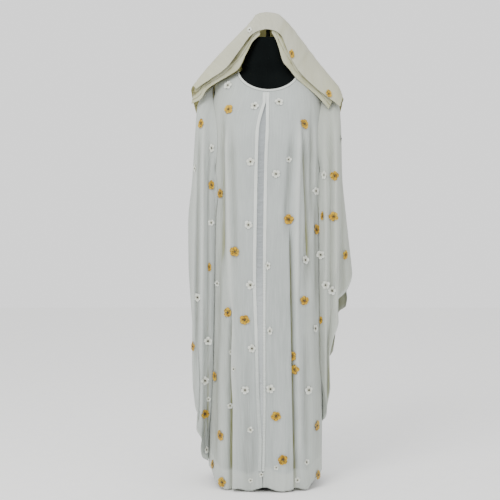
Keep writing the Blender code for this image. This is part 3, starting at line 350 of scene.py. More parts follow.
VEIL = table(
    VeilRow,
    ((-0.256, -0.072, 1.397), (-0.276, 0.0, 1.398), (-0.268, 0.09, 1.35), (-0.236, 0.13, 1.27)),
    ((-0.202, -0.08, 1.431), (-0.243, 0.0, 1.448), (-0.218, 0.092, 1.38), (-0.192, 0.15, 1.23)),
    ((-0.15, -0.08, 1.468), (-0.192, 0.0, 1.51), (-0.16, 0.096, 1.42), (-0.14, 0.164, 1.195)),
    ((-0.107, -0.076, 1.524), (-0.128, 0.0, 1.577), (-0.112, 0.096, 1.47), (-0.092, 0.172, 1.172)),
    ((-0.06, -0.066, 1.588), (-0.068, 0.0, 1.637), (-0.066, 0.094, 1.51), (-0.048, 0.176, 1.16)),
    ((-0.034, -0.06, 1.604), (-0.039, 0.0, 1.672), (-0.034, 0.09, 1.526), (-0.024, 0.178, 1.156)),
    ((-0.006, -0.058, 1.61), (-0.006, 0.0, 1.6785), (-0.004, 0.09, 1.53), (0.0, 0.178, 1.155)),
    ((0.022, -0.06, 1.604), (0.032, 0.0, 1.673), (0.028, 0.09, 1.526), (0.024, 0.178, 1.156)),
    ((0.044, -0.066, 1.587), (0.074, 0.0, 1.638), (0.062, 0.094, 1.508), (0.048, 0.176, 1.16)),
    ((0.075, -0.076, 1.513), (0.124, 0.0, 1.577), (0.108, 0.096, 1.466), (0.092, 0.172, 1.172)),
    ((0.102, -0.08, 1.464), (0.176, 0.0, 1.508), (0.156, 0.096, 1.414), (0.14, 0.164, 1.195)),
    ((0.163, -0.08, 1.401), (0.223, 0.0, 1.45), (0.212, 0.092, 1.374), (0.192, 0.15, 1.23)),
    ((0.222, -0.08, 1.356), (0.258, 0.0, 1.404), (0.25, 0.09, 1.35), (0.226, 0.138, 1.256)),
    ((0.252, -0.072, 1.334), (0.27, 0.0, 1.366), (0.266, 0.086, 1.33), (0.24, 0.128, 1.27)),
)

VEIL_UNDER_RIGHT = table(
    UnderRow,
    ((-0.03, -0.053, 1.59), 0.4), ((-0.054, -0.057, 1.567), 0.345), ((-0.08, -0.062, 1.518), 0.28),
    ((-0.105, -0.066, 1.468), 0.225), ((-0.133, -0.068, 1.447), 0.175), ((-0.182, -0.068, 1.419), 0.105),
    ((-0.216, -0.068, 1.395), 0.06), ((-0.24, -0.064, 1.36), 0.03), ((-0.272, -0.056, 1.346), 0.008),
)

VEIL_UNDER_LEFT = table(
    UnderRow,
    ((0.012, -0.053, 1.598), 0.515), ((0.024, -0.056, 1.578), 0.565), ((0.036, -0.06, 1.545), 0.62),
    ((0.051, -0.064, 1.494), 0.68), ((0.073, -0.067, 1.466), 0.725), ((0.094, -0.068, 1.439), 0.77),
    ((0.122, -0.068, 1.413), 0.82), ((0.168, -0.068, 1.375), 0.88), ((0.212, -0.068, 1.326), 0.93),
)

FORM_LOWER = table(
    Form,
    (0.8, 0.138, 0.098, 0.1), (0.812, 0.15, 0.106, 0.108), (0.9, 0.16, 0.11, 0.112),
    (1.06, 0.124, 0.086, 0.088), (1.2, 0.15, 0.114, 0.1), (1.29, 0.168, 0.102, 0.098),
)

FORM_NECK = table(
    Form,
    (1.494, 0.095, 0.046, 0.048), (1.512, 0.087, 0.047, 0.048), (1.532, 0.079, 0.047, 0.047),
    (1.556, 0.066, 0.047, 0.047), (1.582, 0.056, 0.047, 0.047), (1.587, 0.052, 0.043, 0.043),
)

# The kinds of flower, in one letter each for the tables of flowers.
W, Y, B = Bloom.WHITE, Bloom.YELLOW, Bloom.BUD

CHEST_FLOWERS = table(
    Flower,
    (228.0, 85.5, 10, W), (228.5, 109.5, 40, Y), (254.5, 106.0, 0, W), (279.0, 102.0, 25, W),
    (304.0, 124.0, 0, Y), (250.4, 161.7, 20, W), (276.0, 174.0, 44, W), (288.5, 159.5, 10, B, 0.7),
    (220.5, 193.5, 30, Y, 1.0, 0.6),
)

SKIRT_FLOWERS = table(
    Flower,
    (248.5, 225.0, 55, W), (288.7, 219.6, 15, Y), (315.8, 229.3, 50, Y), (235.0, 251.6, 15, Y),
    (305.2, 260.0, 5, W), (267.8, 265.6, 35, W, 1.0, 0.6), (217.4, 283.5, 20, B, 0.7), (250.5, 285.0, 30, W),
    (304.0, 300.5, 22, Y), (228.0, 312.3, 5, Y), (244.6, 320.0, 60, Y), (315.0, 328.4, 64, W),
    (269.8, 331.0, 18, W, 1.0, 0.6), (252.0, 348.5, 12, W), (231.0, 352.0, 33, B, 0.6), (292.0, 355.8, 40, Y),
    (294.7, 369.4, 8, Y), (233.4, 369.0, 50, B, 0.6), (245.0, 390.0, 48, W), (270.5, 389.0, 0, W),
    (308.7, 390.0, 28, W), (230.0, 405.7, 16, B, 0.7), (276.0, 416.0, 52, Y), (316.6, 425.5, 12, Y),
    (250.3, 429.7, 0, B, 0.75), (220.3, 435.3, 25, Y), (283.0, 459.6, 30, Y), (306.3, 462.0, 41, B, 0.8),
    (276.2, 467.4, 8, B, 0.6), (261.3, 474.5, 27, B, 0.6), (317.5, 475.0, 20, Y), (250.7, 480.4, 36, B, 0.6),
    (213.0, 464.0, 2, Y, 0.9, 0.6), (222.3, 482.0, 10, Y), (297.6, 480.0, 14, B, 0.7),
)

RIGHT_SLEEVE_FLOWERS = table(
    Flower,
    (201.0, 124.0, 10, Y, 1.0, 0.6), (211.6, 148.0, 35, W, 1.0, 0.6), (195.0, 168.5, 5, W, 0.9, 0.6),
    (211.0, 185.0, 20, Y, 1.0, 0.6), (211.0, 222.8, 0, B, 0.75), (209.3, 267.0, 30, Y, 0.9, 0.4),
    (197.7, 297.4, 50, W), (208.0, 341.0, 22, W), (193.2, 346.4, 15, Y, 1.0, 0.6),
    (215.0, 376.4, 38, Y, 1.0, 0.6), (204.7, 380.6, 30, W), (208.5, 399.0, 12, B, 0.6), (204.4, 414.0, 44, Y),
    (206.5, 449.5, 26, W, 0.9, 0.6),
)

LEFT_SLEEVE_FLOWERS = table(
    Flower,
    (340.7, 138.7, 25, W, 0.9, 0.6), (324.0, 175.0, 15, W, 1.0, 0.6), (334.6, 175.8, 5, Y),
    (315.7, 191.0, 33, W), (322.6, 216.0, 12, Y, 0.9, 0.4), (334.0, 216.3, 40, Y),
    (345.3, 254.8, 15, Y, 1.0, 0.6), (320.7, 254.8, 48, W), (325.6, 285.0, 30, W), (332.3, 290.6, 8, W),
    (320.0, 320.0, 50, Y, 0.9, 0.4),
)

VEIL_FLOWERS = table(
    Flower,
    (249.5, 30.0, 0, W, 0.8, 0.7), (227.0, 67.0, 40, Y, 0.9, 0.7), (198.0, 88.0, 15, W, 0.8, 0.7),
    (291.6, 54.0, 20, Y, 0.9, 0.6), (328.5, 94.0, 30, Y, 0.9, 0.7),
)

BACK_FLOWERS = table(
    Flower,
    (-0.11, 1.33, 12, Y), (0.04, 1.352, 30, W), (0.128, 1.29, 50, Y), (-0.034, 1.226, 0, W),
    (0.074, 1.15, 20, Y), (-0.128, 1.092, 40, W), (0.012, 1.01, 15, Y), (0.134, 0.96, 60, W),
    (-0.072, 0.88, 25, Y), (0.052, 0.8, 5, W), (-0.146, 0.74, 35, W), (0.14, 0.67, 48, Y),
    (-0.02, 0.62, 18, W), (-0.1, 0.5, 10, Y), (0.06, 0.47, 28, W), (0.146, 0.38, 42, Y), (-0.03, 0.32, 55, Y),
    (-0.15, 0.25, 22, W), (0.052, 0.18, 33, Y), (-0.06, 0.08, 8, W), (0.14, 0.09, 45, W),
)

RIGHT_SLEEVE_BACK_FLOWERS = table(
    Flower,
    (-0.238, 1.18, 20, W), (-0.236, 0.86, 45, Y), (-0.24, 0.56, 5, W),
)

LEFT_SLEEVE_BACK_FLOWERS = table(
    Flower,
    (0.232, 1.14, 35, Y), (0.24, 0.86, 10, W), (0.222, 0.56, 55, Y),
)

VEIL_BACK_FLOWERS = table(
    Flower,
    (0.06, 1.4, 10, Y), (-0.09, 1.34, 35, W), (0.01, 1.25, 50, Y), (0.15, 1.29, 25, W),
)


def through(places: Array, values: Array, at: Array) -> Array:
    """The values at the given places on a smooth curve through all rows, without overshoot.

    Args:
        places: The rows' places, rising.
        values: A number for each row, or an array for each row with one number for each place asked for.
        at: The places asked for.

    Returns:
        The values, in the shape of at.
    """
    places = np.asarray(places, float)
    at = np.asarray(at, float)
    shape = at.shape
    at = np.clip(at.ravel(), places[0], places[-1])
    values = np.asarray(values, float)
    if values.ndim == 1:
        values = values[:, None]
    values = np.broadcast_to(values, (len(places), at.size))
    widths = np.diff(places)[:, None]
    slopes = np.diff(values, axis=0) / widths
    tangents = np.empty_like(values)
    tangents[0] = slopes[0]
    tangents[-1] = slopes[-1]
    product = slopes[:-1] * slopes[1:]
    total = slopes[:-1] + slopes[1:]
    tangents[1:-1] = np.where(product > 0, 2 * product / np.where(total == 0, 1, total), 0)
    index = np.clip(np.searchsorted(places, at, side="right") - 1, 0, len(widths) - 1)
    each = np.arange(at.size)
    width = widths[index, 0]
    share = (at - places[index]) / width
    rest = 1 - share
    start = values[index, each] * (1 + 2 * share) * rest**2
    start += tangents[index, each] * width * share * rest**2
    end = values[index + 1, each] * (3 - 2 * share) * share**2
    end -= tangents[index + 1, each] * width * share**2 * rest
    return (start + end).reshape(shape)


def column(rows: tuple, name: str, at: Array, key: str = "height") -> Array:
    """One named column of a table, read at any place of its key column.

    Args:
        rows: The table.
        name: The column that is read.
        at: The places in the key column.
        key: The key column.

    Returns:
        The values, in the shape of at.
    """
    return through([getattr(row, key) for row in rows], [getattr(row, name) for row in rows], at)


def smoothstep(value: Array) -> Array:
    """A soft step from 0 to 1.

    Args:
        value: Where the step is read, 0 at its start and 1 at its end.

    Returns:
        The step's height there.
    """
    value = np.clip(value, 0, 1)
    return value * value * (3 - 2 * value)


def unit(vectors: Array) -> Array:
    """Vectors at length one."""
    return vectors / np.maximum(np.linalg.norm(vectors, axis=-1, keepdims=True), 1e-12)


@dataclass(frozen=True)
class Drape:
    """The folds of one piece of cloth, and the fine uneven ripples that run down between them."""

    folds: tuple[Fold, ...]
    seed: int
    ripple_top: float = 0.00025
    ripple_foot: float = 0.0015
    ripple_waves: int = 7
    ripple_range: tuple[float, float] = (0.013, 0.042)
    ripple_full: float = 0.10
    ripple_start: float = 1.35

    def fold(self, x: Array, z: Array) -> Array:
        """How far the folds push the cloth outwards.

        Args:
            x: Places across, in metres.
            z: Heights, in metres.

        Returns:
            The push, in metres.
        """
        total = np.zeros(np.broadcast(x, z).shape)
        for fold in self.folds:
            share = np.clip((z - fold.foot) / (fold.top - fold.foot), 0, 1)
            off = x - (fold.x_foot + (fold.x_top - fold.x_foot) * share)
            held = smoothstep((fold.top - z) / FOLD_FADE)
            if fold.foot > 0:
                held = held * smoothstep((z - fold.foot + FOLD_FADE) / FOLD_FADE)
            width = np.where(off < 0, fold.low_width, fold.high_width)
            total = total + fold.depth * held * np.exp(-((off / width) ** 2))
        return total

    def ripple(self, x: Array, z: Array) -> Array:
        """How far the fine ripples push the cloth outwards.

        Args:
            x: Places across, in metres.
            z: Heights, in metres.

        Returns:
            The push, in metres.
        """
        rng = np.random.default_rng(self.seed)
        total = np.zeros(np.broadcast(x, z).shape)
        for base in np.geomspace(*self.ripple_range, self.ripple_waves):
            wave = base * rng.uniform(0.85, 1.15)
            sway = rng.uniform(0.003, 0.010)
            drift = sway * np.sin(2 * math.pi * z / rng.uniform(0.3, 0.8) + rng.uniform(0, 6))
            strength = 0.5 + 0.5 * np.sin(2 * math.pi * z / rng.uniform(0.25, 0.6) + rng.uniform(0, 6))
            total += np.sin(2 * math.pi * (x + drift) / wave + rng.uniform(0, 6)) * strength * (wave / 0.03)
        growth = smoothstep((self.ripple_start - z) / (self.ripple_start - self.ripple_full))
        size = self.ripple_top + (self.ripple_foot - self.ripple_top) * growth
        return total * size / 2.2


FRONT_DRAPE = Drape(FRONT_FOLDS, 11)
BACK_DRAPE = Drape(BACK_FOLDS, 23)


def body_half(side: Array, z: Array) -> Array:
    """Half width of the body at a height, on the wearer's right (side under 0) or left."""
    return np.where(np.asarray(side) < 0, column(BODY, "right", z), column(BODY, "left", z))


def body_point(x: Array, z: Array, face: Face) -> Array:
    """A point of the body cloth before its folds.

    Args:
        x: Places across.
        z: Heights.
        face: Front or back.

    Returns:
        The points.
    """
    depth = column(BODY, "front" if face is Face.FRONT else "back", z)
    share = np.clip(np.abs(x) / body_half(np.sign(x), z), 0, 1)
    bow = np.sqrt(1 - share**SQUARENESS)
    return np.stack([x, face.value * (SIDE_GAP / 2 + depth * bow), z + 0 * x], axis=-1)


def draped(x: Array, z: Array, face: Face, drape: Drape) -> Array:
    """A point of the folded body cloth: folds and ripples push it out from the middle of the body.

    Args:
        x: Places across.
        z: Heights.
        face: Front or back.
        drape: The folds and ripples.

    Returns:
        The points.
    """
    share = np.clip(np.abs(x) / body_half(np.sign(x), z), 0, 1)
    level = np.sqrt(1 - share**2)
    push = (drape.fold(x, z) + drape.ripple(x, z)) * level**0.5
    point = body_point(x, z, face)
    point[..., 0] += push * share * np.sign(x)
    point[..., 1] += push * level * face.value
    return point


def armhole_x(side: Side, z: Array, face: Face) -> Array:
    """x of the armhole's seam at a height, and of the side seam below the armhole.

    Args:
        side: The wearer's right or left.
        z: Heights.
        face: Front or back.

    Returns:
        The places across.
    """
    cut = FRONT_ARMHOLE_CUT if face is Face.FRONT else BACK_ARMHOLE_CUT
    share = np.clip((z - UNDERARM_HEIGHT) / (SHOULDER_TIP_HEIGHT - UNDERARM_HEIGHT), 0, 1)
    angle = math.pi / 2 - cut * np.sin(math.pi * share) ** 0.8
    return body_half(side.value, np.minimum(z, SHOULDER_TIP_HEIGHT)) * np.sin(angle) * side.value


def right_edge(z: Array) -> Array:
    """x of the right front's inner edge at a height."""
    return column(CENTRE, "right_edge", z)


def left_edge(z: Array) -> Array:
    """x of the left front's inner edge at a height."""
    return column(CENTRE, "left_edge", z)


def no_edge(z: Array) -> Array:
    """The centre line, where a half of the back starts."""
    return 0.0 * np.asarray(z, float)


def centre_height(v: Array) -> Array:
    """Height of a row of the front panels at their inner edges.

    Args:
        v: Shares up.

    Returns:
        The heights.
    """
    foot = float(column(FRONT_HEM, "height", np.array(left_edge(np.array(0.0))), key="x"))
    return foot + (NECK_FRONT_HEIGHT - foot) * v


@dataclass(frozen=True)
class BodyPanel:
    """Half a front or back: u from its inner edge to side and armhole, v from hem to neck and shoulder."""

    side: Side
    face: Face
    drape: Drape
    hem: tuple[HemPoint, ...]
    inner_edge: Callable[[Array], Array]
    neck_low: float

    def place(self, u: Array, v: Array) -> tuple[Array, Array]:
        """x and z of the cloth.

        Args:
            u: Shares across.
            v: Shares up.

        Returns:
            x and z, before the folds.
        """
        side = self.side.value
        across = np.sin(u * math.pi / 2)
        start = float(self.inner_edge(np.array(NECK_FRONT_HEIGHT))) * side
        neck_turn = np.clip(u / NECK_SHARE, 0, 1)
        neck_x = start + (NECK_HALF_WIDTH - start) * np.sin(neck_turn * math.pi / 2)
        shoulder = np.clip((u - NECK_SHARE) / (1 - NECK_SHARE), 0, 1)
        shoulder_z = NECK_SIDE_HEIGHT + (SHOULDER_TIP_HEIGHT - NECK_SIDE_HEIGHT) * shoulder
        drop = np.sqrt(np.clip(1 - (neck_x / NECK_HALF_WIDTH) ** 2, 0, 1))
        neck_z = NECK_SIDE_HEIGHT - (NECK_SIDE_HEIGHT - self.neck_low) * drop
        top = np.where(u > NECK_SHARE, shoulder_z, neck_z)
        top_x = np.where(u > NECK_SHARE, body_half(side, shoulder_z), neck_x)
        foot_start = self.inner_edge(0.0 * u)
        foot_x = foot_start + (body_half(side, 0.0 * u) * side - foot_start) * across
        foot = column(self.hem, "height", foot_x, key="x")
        z = foot + (top - foot) * v
        inner = self.inner_edge(z)
        x = inner + (armhole_x(self.side, z, self.face) - inner) * across
        blend = smoothstep((v - 1 + TOP_BLEND) / TOP_BLEND)
        return x + (inner + (top_x - start) * side - x) * blend, z

    def points(self, u: Array, v: Array) -> Array:
        """The folded cloth's points, at shares u across and v up."""
        x, z = self.place(u, v)
        return draped(x, z, self.face, self.drape)


@dataclass(frozen=True)
class SleeveTube:
    """A sleeve as a tube: u from the underarm up the front and down the back, v from armhole to cuff."""

    side: Side
    rings: tuple[SleeveRing, ...]
    drape: Drape
    cuff: tuple[Cascade, ...]
    flutter: float = 0.006
    lowest: float = 0.07
    crossing: float = 0.004

    def rest(self, x: Array, y: Array, z: Array, v: Array) -> tuple[Array, Array]:
        """Keeps the sleeve's inner edge beside the body, and in front of it or behind it where it crosses it.

        Args:
            x: Places across, out from the middle.
            y: Depths.
            z: Heights.
            v: Shares along.

        Returns:
            The places across and the depths.
        """
        low = np.maximum(z, self.lowest)
        half = body_half(self.side.value, low)
        start = smoothstep(v / SLEEVE_TUCK_RUN)
        depth = np.where(y < 0, column(BODY, "front", low), column(BODY, "back", low))
        share = np.clip(np.abs(y) / depth, 0, 1)
        beside = half * (1 - share**2) ** (1 / SQUARENESS) + SLEEVE_REST
        x = x + (np.maximum(x, beside) - x) * (1 - smoothstep((share - 0.2) / 0.25)) * start
        across = x * self.side.value
        front = draped(across, low, Face.FRONT, FRONT_DRAPE)[..., 1] - SLEEVE_REST
        back = draped(across, low, Face.BACK, BACK_DRAPE)[..., 1] + SLEEVE_REST
        laid = np.where(y < 0, np.minimum(y, front), np.maximum(y, back))
        return x, y + (laid - y) * smoothstep((half + self.crossing - x) / self.crossing) * start

    def points(self, u: Array, v: Array) -> Array:
        """The sleeve's points.

        Args:
            u: Shares around.
            v: Shares along.

        Returns:
            The points.
        """
        turn = 2 * math.pi * u
        share = (1 - np.cos(turn)) / 2
        facing = np.where(np.sin(turn) >= 0, -1.0, 1.0)
        sizes = {name: column(self.rings, name, v, key="along") for name in SleeveRing._fields[1:]}
        swing = np.abs(np.sin(turn))
        start = smoothstep(v / SLEEVE_TUCK_RUN)
        place = SLEEVE_TUCK_PLACE - SLEEVE_TUCK_CLIMB * smoothstep((v - 0.55) / 0.35)
        spread = CUFF_SPREAD * smoothstep((v - 1 + CUFF_SPREAD_RUN) / CUFF_SPREAD_RUN)
        tuck = SLEEVE_TUCK * start * np.exp(-(((share - place) / place) ** 2)) * swing * (1 - spread)
        spare = sizes["under_x"] - body_half(self.side.value, sizes["under"]) - SLEEVE_REST
        tuck += spare * start * np.exp(-((share / (0.12 - 0.09 * smoothstep((v - 0.7) / 0.3))) ** 2))
        near_front = smoothstep(0.5 + np.sin(turn) / 0.5)
        front_lean = column(self.cuff, "front", share, key="share")
        back_lean = column(self.cuff, "back", share, key="share")
        lean = (back_lean + (front_lean - back_lean) * near_front) * smoothstep((v - 1 + CUFF_RUN) / CUFF_RUN)
        x = sizes["under_x"] + (sizes["top_x"] - sizes["under_x"]) * share - tuck + lean
        y = facing * sizes["depth"] * swing**0.75
        z = sizes["under"] + (sizes["top"] - sizes["under"]) * share
        push = self.drape.fold(x * self.side.value, z) + self.drape.ripple(x * self.side.value, z)
        wave = np.sin(share * 21 + 1.3) * np.sin(share * 9.2 + 0.4) * self.flutter
        push = push * start + wave * smoothstep((v - 0.7) / 0.3)
        x, y = self.rest(x, y + facing * push * swing, z, v)
        arm_z = UNDERARM_HEIGHT + (SHOULDER_TIP_HEIGHT - UNDERARM_HEIGHT) * share
        front = body_point(armhole_x(self.side, arm_z, Face.FRONT), arm_z, Face.FRONT)
        back = body_point(armhole_x(self.side, arm_z, Face.BACK), arm_z, Face.BACK)
        arm = np.where((facing < 0)[..., None], front, back)
        near = 1 - smoothstep(v / SLEEVE_HEAD)
        x = x + (arm[..., 0] * self.side.value + ARMHOLE_GAP - x) * near
        y = y + (arm[..., 1] - facing * SIDE_GAP / 2 - y) * near
        z = z + (arm_z - z) * near
        return np.stack([x * self.side.value, y, z], axis=-1)


def veil_points(u: Array, v: Array) -> Array:
    """The veil's points.

    Args:
        u: Shares from the wearer's right tip over the crown to the left tip.
        v: Shares from the front edge to the back hem.

    Returns:
        The points.
    """
    steps = np.linspace(0, 1, len(VEIL))
    shape = np.broadcast(u, v).shape
    u = np.broadcast_to(u, shape).ravel()
    v = np.broadcast_to(v, shape).ravel()
    point = np.zeros((u.size, 3))
    for axis, step in enumerate(VEIL_CROWN):
        edge, crest, back, hem = (
            through(steps, [getattr(row, name)[axis] for row in VEIL], u) for name in VeilRow._fields
        )
        point[:, axis] = through(VEIL_LEVELS, [edge, crest, crest + step, back, hem], v)
    swell = np.sin(math.pi * np.clip(v / VEIL_LEVELS[1], 0, 1))
    point[:, 1:] += np.stack([-swell, swell], axis=-1) * VEIL_SWELL
    return point.reshape(shape + (3,))


def grid_normals(points: Array, around: bool, away: Array) -> Array:
    """Unit normals at the points of a grid, on the side that away points to.

    Args:
        points: The grid, (u, v, 3).
        around: Whether u goes round and closes.
        away: Vectors that point out of the piece.

    Returns:
        The normals, (u, v, 3).
    """
    if around:
        by_u = np.roll(points, -1, axis=0) - np.roll(points, 1, axis=0)
    else:
        by_u = np.gradient(points, axis=0)
    by_v = np.gradient(points, axis=1)
    normals = unit(np.cross(by_u, by_v))
    return normals * np.sign((normals * away).sum(axis=-1).mean())


def quads(index: Array) -> Array:
    """The corners of the faces between the places of a grid of indices, (faces, 4)."""
    return np.stack([index[:-1, :-1], index[1:, :-1], index[1:, 1:], index[:-1, 1:]], axis=-1).reshape(-1, 4)


@dataclass
class ClothGrid:
    """A piece of cloth as a grid of points, with the marks that its finish reads."""

    name: str
    points: Array
    away: Array
    around: bool = False
    thickness: float = 0.0005
    marks: dict[str, Array] = field(default_factory=dict)

    def normals(self) -> Array:
        """The grid's outward normals."""
        return grid_normals(self.points, self.around, self.away)

    def moved(self, distance: float) -> Array:
        """The grid's points, moved outwards."""
        return self.points + self.normals() * distance

    def lengths(self) -> tuple[Array, Array]:
        """Lengths along the cloth, for the pattern's own coordinates.

        Returns:
            The lengths along u and along v at each point.
        """
        by_u = np.linalg.norm(np.diff(self.points, axis=0), axis=-1)
        by_v = np.linalg.norm(np.diff(self.points, axis=1), axis=-1)
        along_u = np.concatenate([np.zeros((1, by_u.shape[1])), np.cumsum(by_u, axis=0)])
        along_v = np.concatenate([np.zeros((by_v.shape[0], 1)), np.cumsum(by_v, axis=1)], axis=1)
        return along_u, along_v

    def area(self) -> float:
        """The cloth's area.

        Returns:
            The area of one side.
        """
        points = np.concatenate([self.points, self.points[:1]]) if self.around else self.points
        first = np.cross(points[1:, :-1] - points[:-1, :-1], points[:-1, 1:] - points[:-1, :-1])
        second = np.cross(points[:-1, 1:] - points[1:, 1:], points[1:, :-1] - points[1:, 1:])
        return float((np.linalg.norm(first, axis=-1) + np.linalg.norm(second, axis=-1)).sum() / 2)

    def corners(self) -> Array:
        """The faces of the grid.

        Returns:
            Their corners, (faces, 4).
        """
        index = np.arange(self.points[..., 0].size).reshape(self.points.shape[:2])
        return quads(np.concatenate([index, index[:1]]) if self.around else index)

    def build(self, outside: Material, inside: Material) -> Piece:
        """Makes the thin closed cloth.

        Args:
            outside: The finish of the face that shows.
            inside: The finish of the other face and the rim.

        Returns:
            The piece.
        """
        along_u, along_v = self.lengths()
        if self.around:
            closing = along_u[-1:] + np.linalg.norm(self.points[:1] - self.points[-1:], axis=-1)
            along_u = np.concatenate([along_u, closing])
            along_v = np.concatenate([along_v, along_v[:1]])
        corners, spots = self.corners(), quads(np.arange(along_u.size).reshape(along_u.shape))
        by_u = np.gradient(self.points, axis=0)
        if self.around:
            by_u = np.roll(self.points, -1, axis=0) - self.points
        facing = np.cross(by_u, np.gradient(self.points, axis=1))
        if (facing * self.away).sum(axis=-1).mean() < 0:
            corners, spots = corners[:, ::-1], spots[:, ::-1]
        coordinates = np.stack([along_u.ravel(), along_v.ravel()], axis=-1)[spots.ravel()]
        mesh = bpy.data.meshes.new(self.name)
        fill_mesh(mesh, self.points.reshape(-1, 3), corners)
        layer = mesh.uv_layers.new(name="UVMap")
        layer.uv.foreach_set("vector", coordinates.astype(np.float32).ravel())
        for name, values in self.marks.items():
            mark = mesh.attributes.new(name, "FLOAT", "POINT")
            full = np.broadcast_to(values, self.points.shape[:2]).astype(np.float32).ravel()
            mark.data.foreach_set("value", full)
        mesh.materials.append(outside)
        mesh.materials.append(inside)
        made = link_object(self.name, mesh)
        wall = made.modifiers.new("Thickness", "SOLIDIFY")
        wall.thickness = self.thickness
        wall.offset = 0.0
        wall.use_even_offset = False
        wall.material_offset = 1
        wall.material_offset_rim = 1
        return made


def fill_mesh(mesh: Mesh, points: Array, corners: Array) -> None:
    """Fills a mesh with smooth faces that all have the same number of corners.

    Args:
        mesh: The empty mesh.
        points: The points, (n, 3).
        corners: The faces' corners, (m, 3) or (m, 4).
    """
    count, sides = corners.shape
    mesh.vertices.add(len(points))
    mesh.vertices.foreach_set("co", np.asarray(points, np.float32).ravel())
    mesh.loops.add(count * sides)
    mesh.loops.foreach_set("vertex_index", corners.astype(np.int32).ravel())
    mesh.polygons.add(count)
    mesh.polygons.foreach_set("loop_start", np.arange(0, count * sides, sides, dtype=np.int32))
    mesh.polygons.foreach_set("use_smooth", np.ones(count, dtype=bool))
    mesh.update(calc_edges=True)
    mesh.validate()


def link_object(name: str, mesh: Mesh) -> Piece:
    """Puts a mesh in the scene as an object at the origin.

    Args:
        name: The object's name.
        mesh: Its mesh.

    Returns:
        The object.
    """
    made = bpy.data.objects.new(name, mesh)
    bpy.context.scene.collection.objects.link(made)
    return made


class NodeLayout:
    """A node tree while its nodes are laid out."""

    tree: Tree

    def add(self, kind: str, options: dict | None = None, **inputs: object) -> Node:
        """Adds a node.

        Args:
            kind: The node's type.
            options: The node's own settings.
            inputs: Values or sockets for its inputs, with _ for a space in a name, or _ and a number.

        Returns:
            The node.
        """
        node = self.tree.nodes.new(kind)
        for name, value in (options or {}).items():
            setattr(node, name, value)
        for name, value in inputs.items():
            key = int(name[1:]) if name[1:].isdigit() else name.replace("_", " ")
            self.join(value, node.inputs[key])
        return node

    def join(self, value: object, socket: Socket) -> None:
        """Links a socket to an input, or sets the input's value.

        Args:
            value: A socket, a number, a vector or a colour.
            socket: The input.
        """
        if isinstance(value, Socket):
            self.tree.links.new(value, socket)
        elif isinstance(value, tuple) and len(value) == 3 and socket.type == "RGBA":
            socket.default_value = (*value, 1.0)
        else:
            socket.default_value = value


class Recipe(NodeLayout):
    """A material while its nodes are laid out."""

    def __init__(self, name: str) -> None:
        """Starts a material with no nodes.

        Args:
            name: The material's name.
        """
        self.material = bpy.data.materials.new(name)
        self.material.use_nodes = True
        self.tree = self.material.node_tree
        self.tree.nodes.clear()
        self.output = self.add("ShaderNodeOutputMaterial")

    def mark(self, name: str) -> Socket:
        """The value of a mark on the mesh."""
        return self.add("ShaderNodeAttribute", {"attribute_name": name}).outputs["Fac"]

    def noise(self, coordinates: Socket, scale: float, detail: float = 2.0) -> Socket:
        """Noise from 0 to 1."""
        return self.add("ShaderNodeTexNoise", Vector=coordinates, Scale=scale, Detail=detail).outputs["Fac"]

    def ramp(
        self, value: Socket, low: float, high: float, to_low: float = 0.0, to_high: float = 1.0
    ) -> Socket:
        """A value taken from one range to another."""
        return self.add("ShaderNodeMapRange", _0=value, _1=low, _2=high, _3=to_low, _4=to_high).outputs[0]

    def mix(self, share: Socket, first: object, second: object) -> Socket:
        """A mix of two colours."""
        return self.add("ShaderNodeMix", {"data_type": "RGBA"}, _0=share, _6=first, _7=second).outputs[2]

    def stretched(self, coordinates: Socket, scale: tuple[float, float, float]) -> Socket:
        """Coordinates that are scaled unevenly."""
        return self.add("ShaderNodeMapping", Vector=coordinates, Scale=scale).outputs["Vector"]

    def bump(self, height: Socket, strength: float, distance: float, normal: Socket | None = None) -> Socket:
        """A bumped normal.

        Args:
            height: The pattern that is raised.
            strength: How strongly.
            distance: How high it stands, in metres.
            normal: The normal that it adds to.

        Returns:
            The normal.
        """
        node = self.add("ShaderNodeBump", Height=height, Strength=strength, Distance=distance)
        if normal is not None:
            self.tree.links.new(normal, node.inputs["Normal"])
        return node.outputs["Normal"]

    def finish(self, shader: Node) -> Material:
        """Ends the recipe.

        Args:
            shader: Its last shader.

        Returns:
            The material.
        """
        self.tree.links.new(shader.outputs[0], self.output.inputs["Surface"])
        return self.material


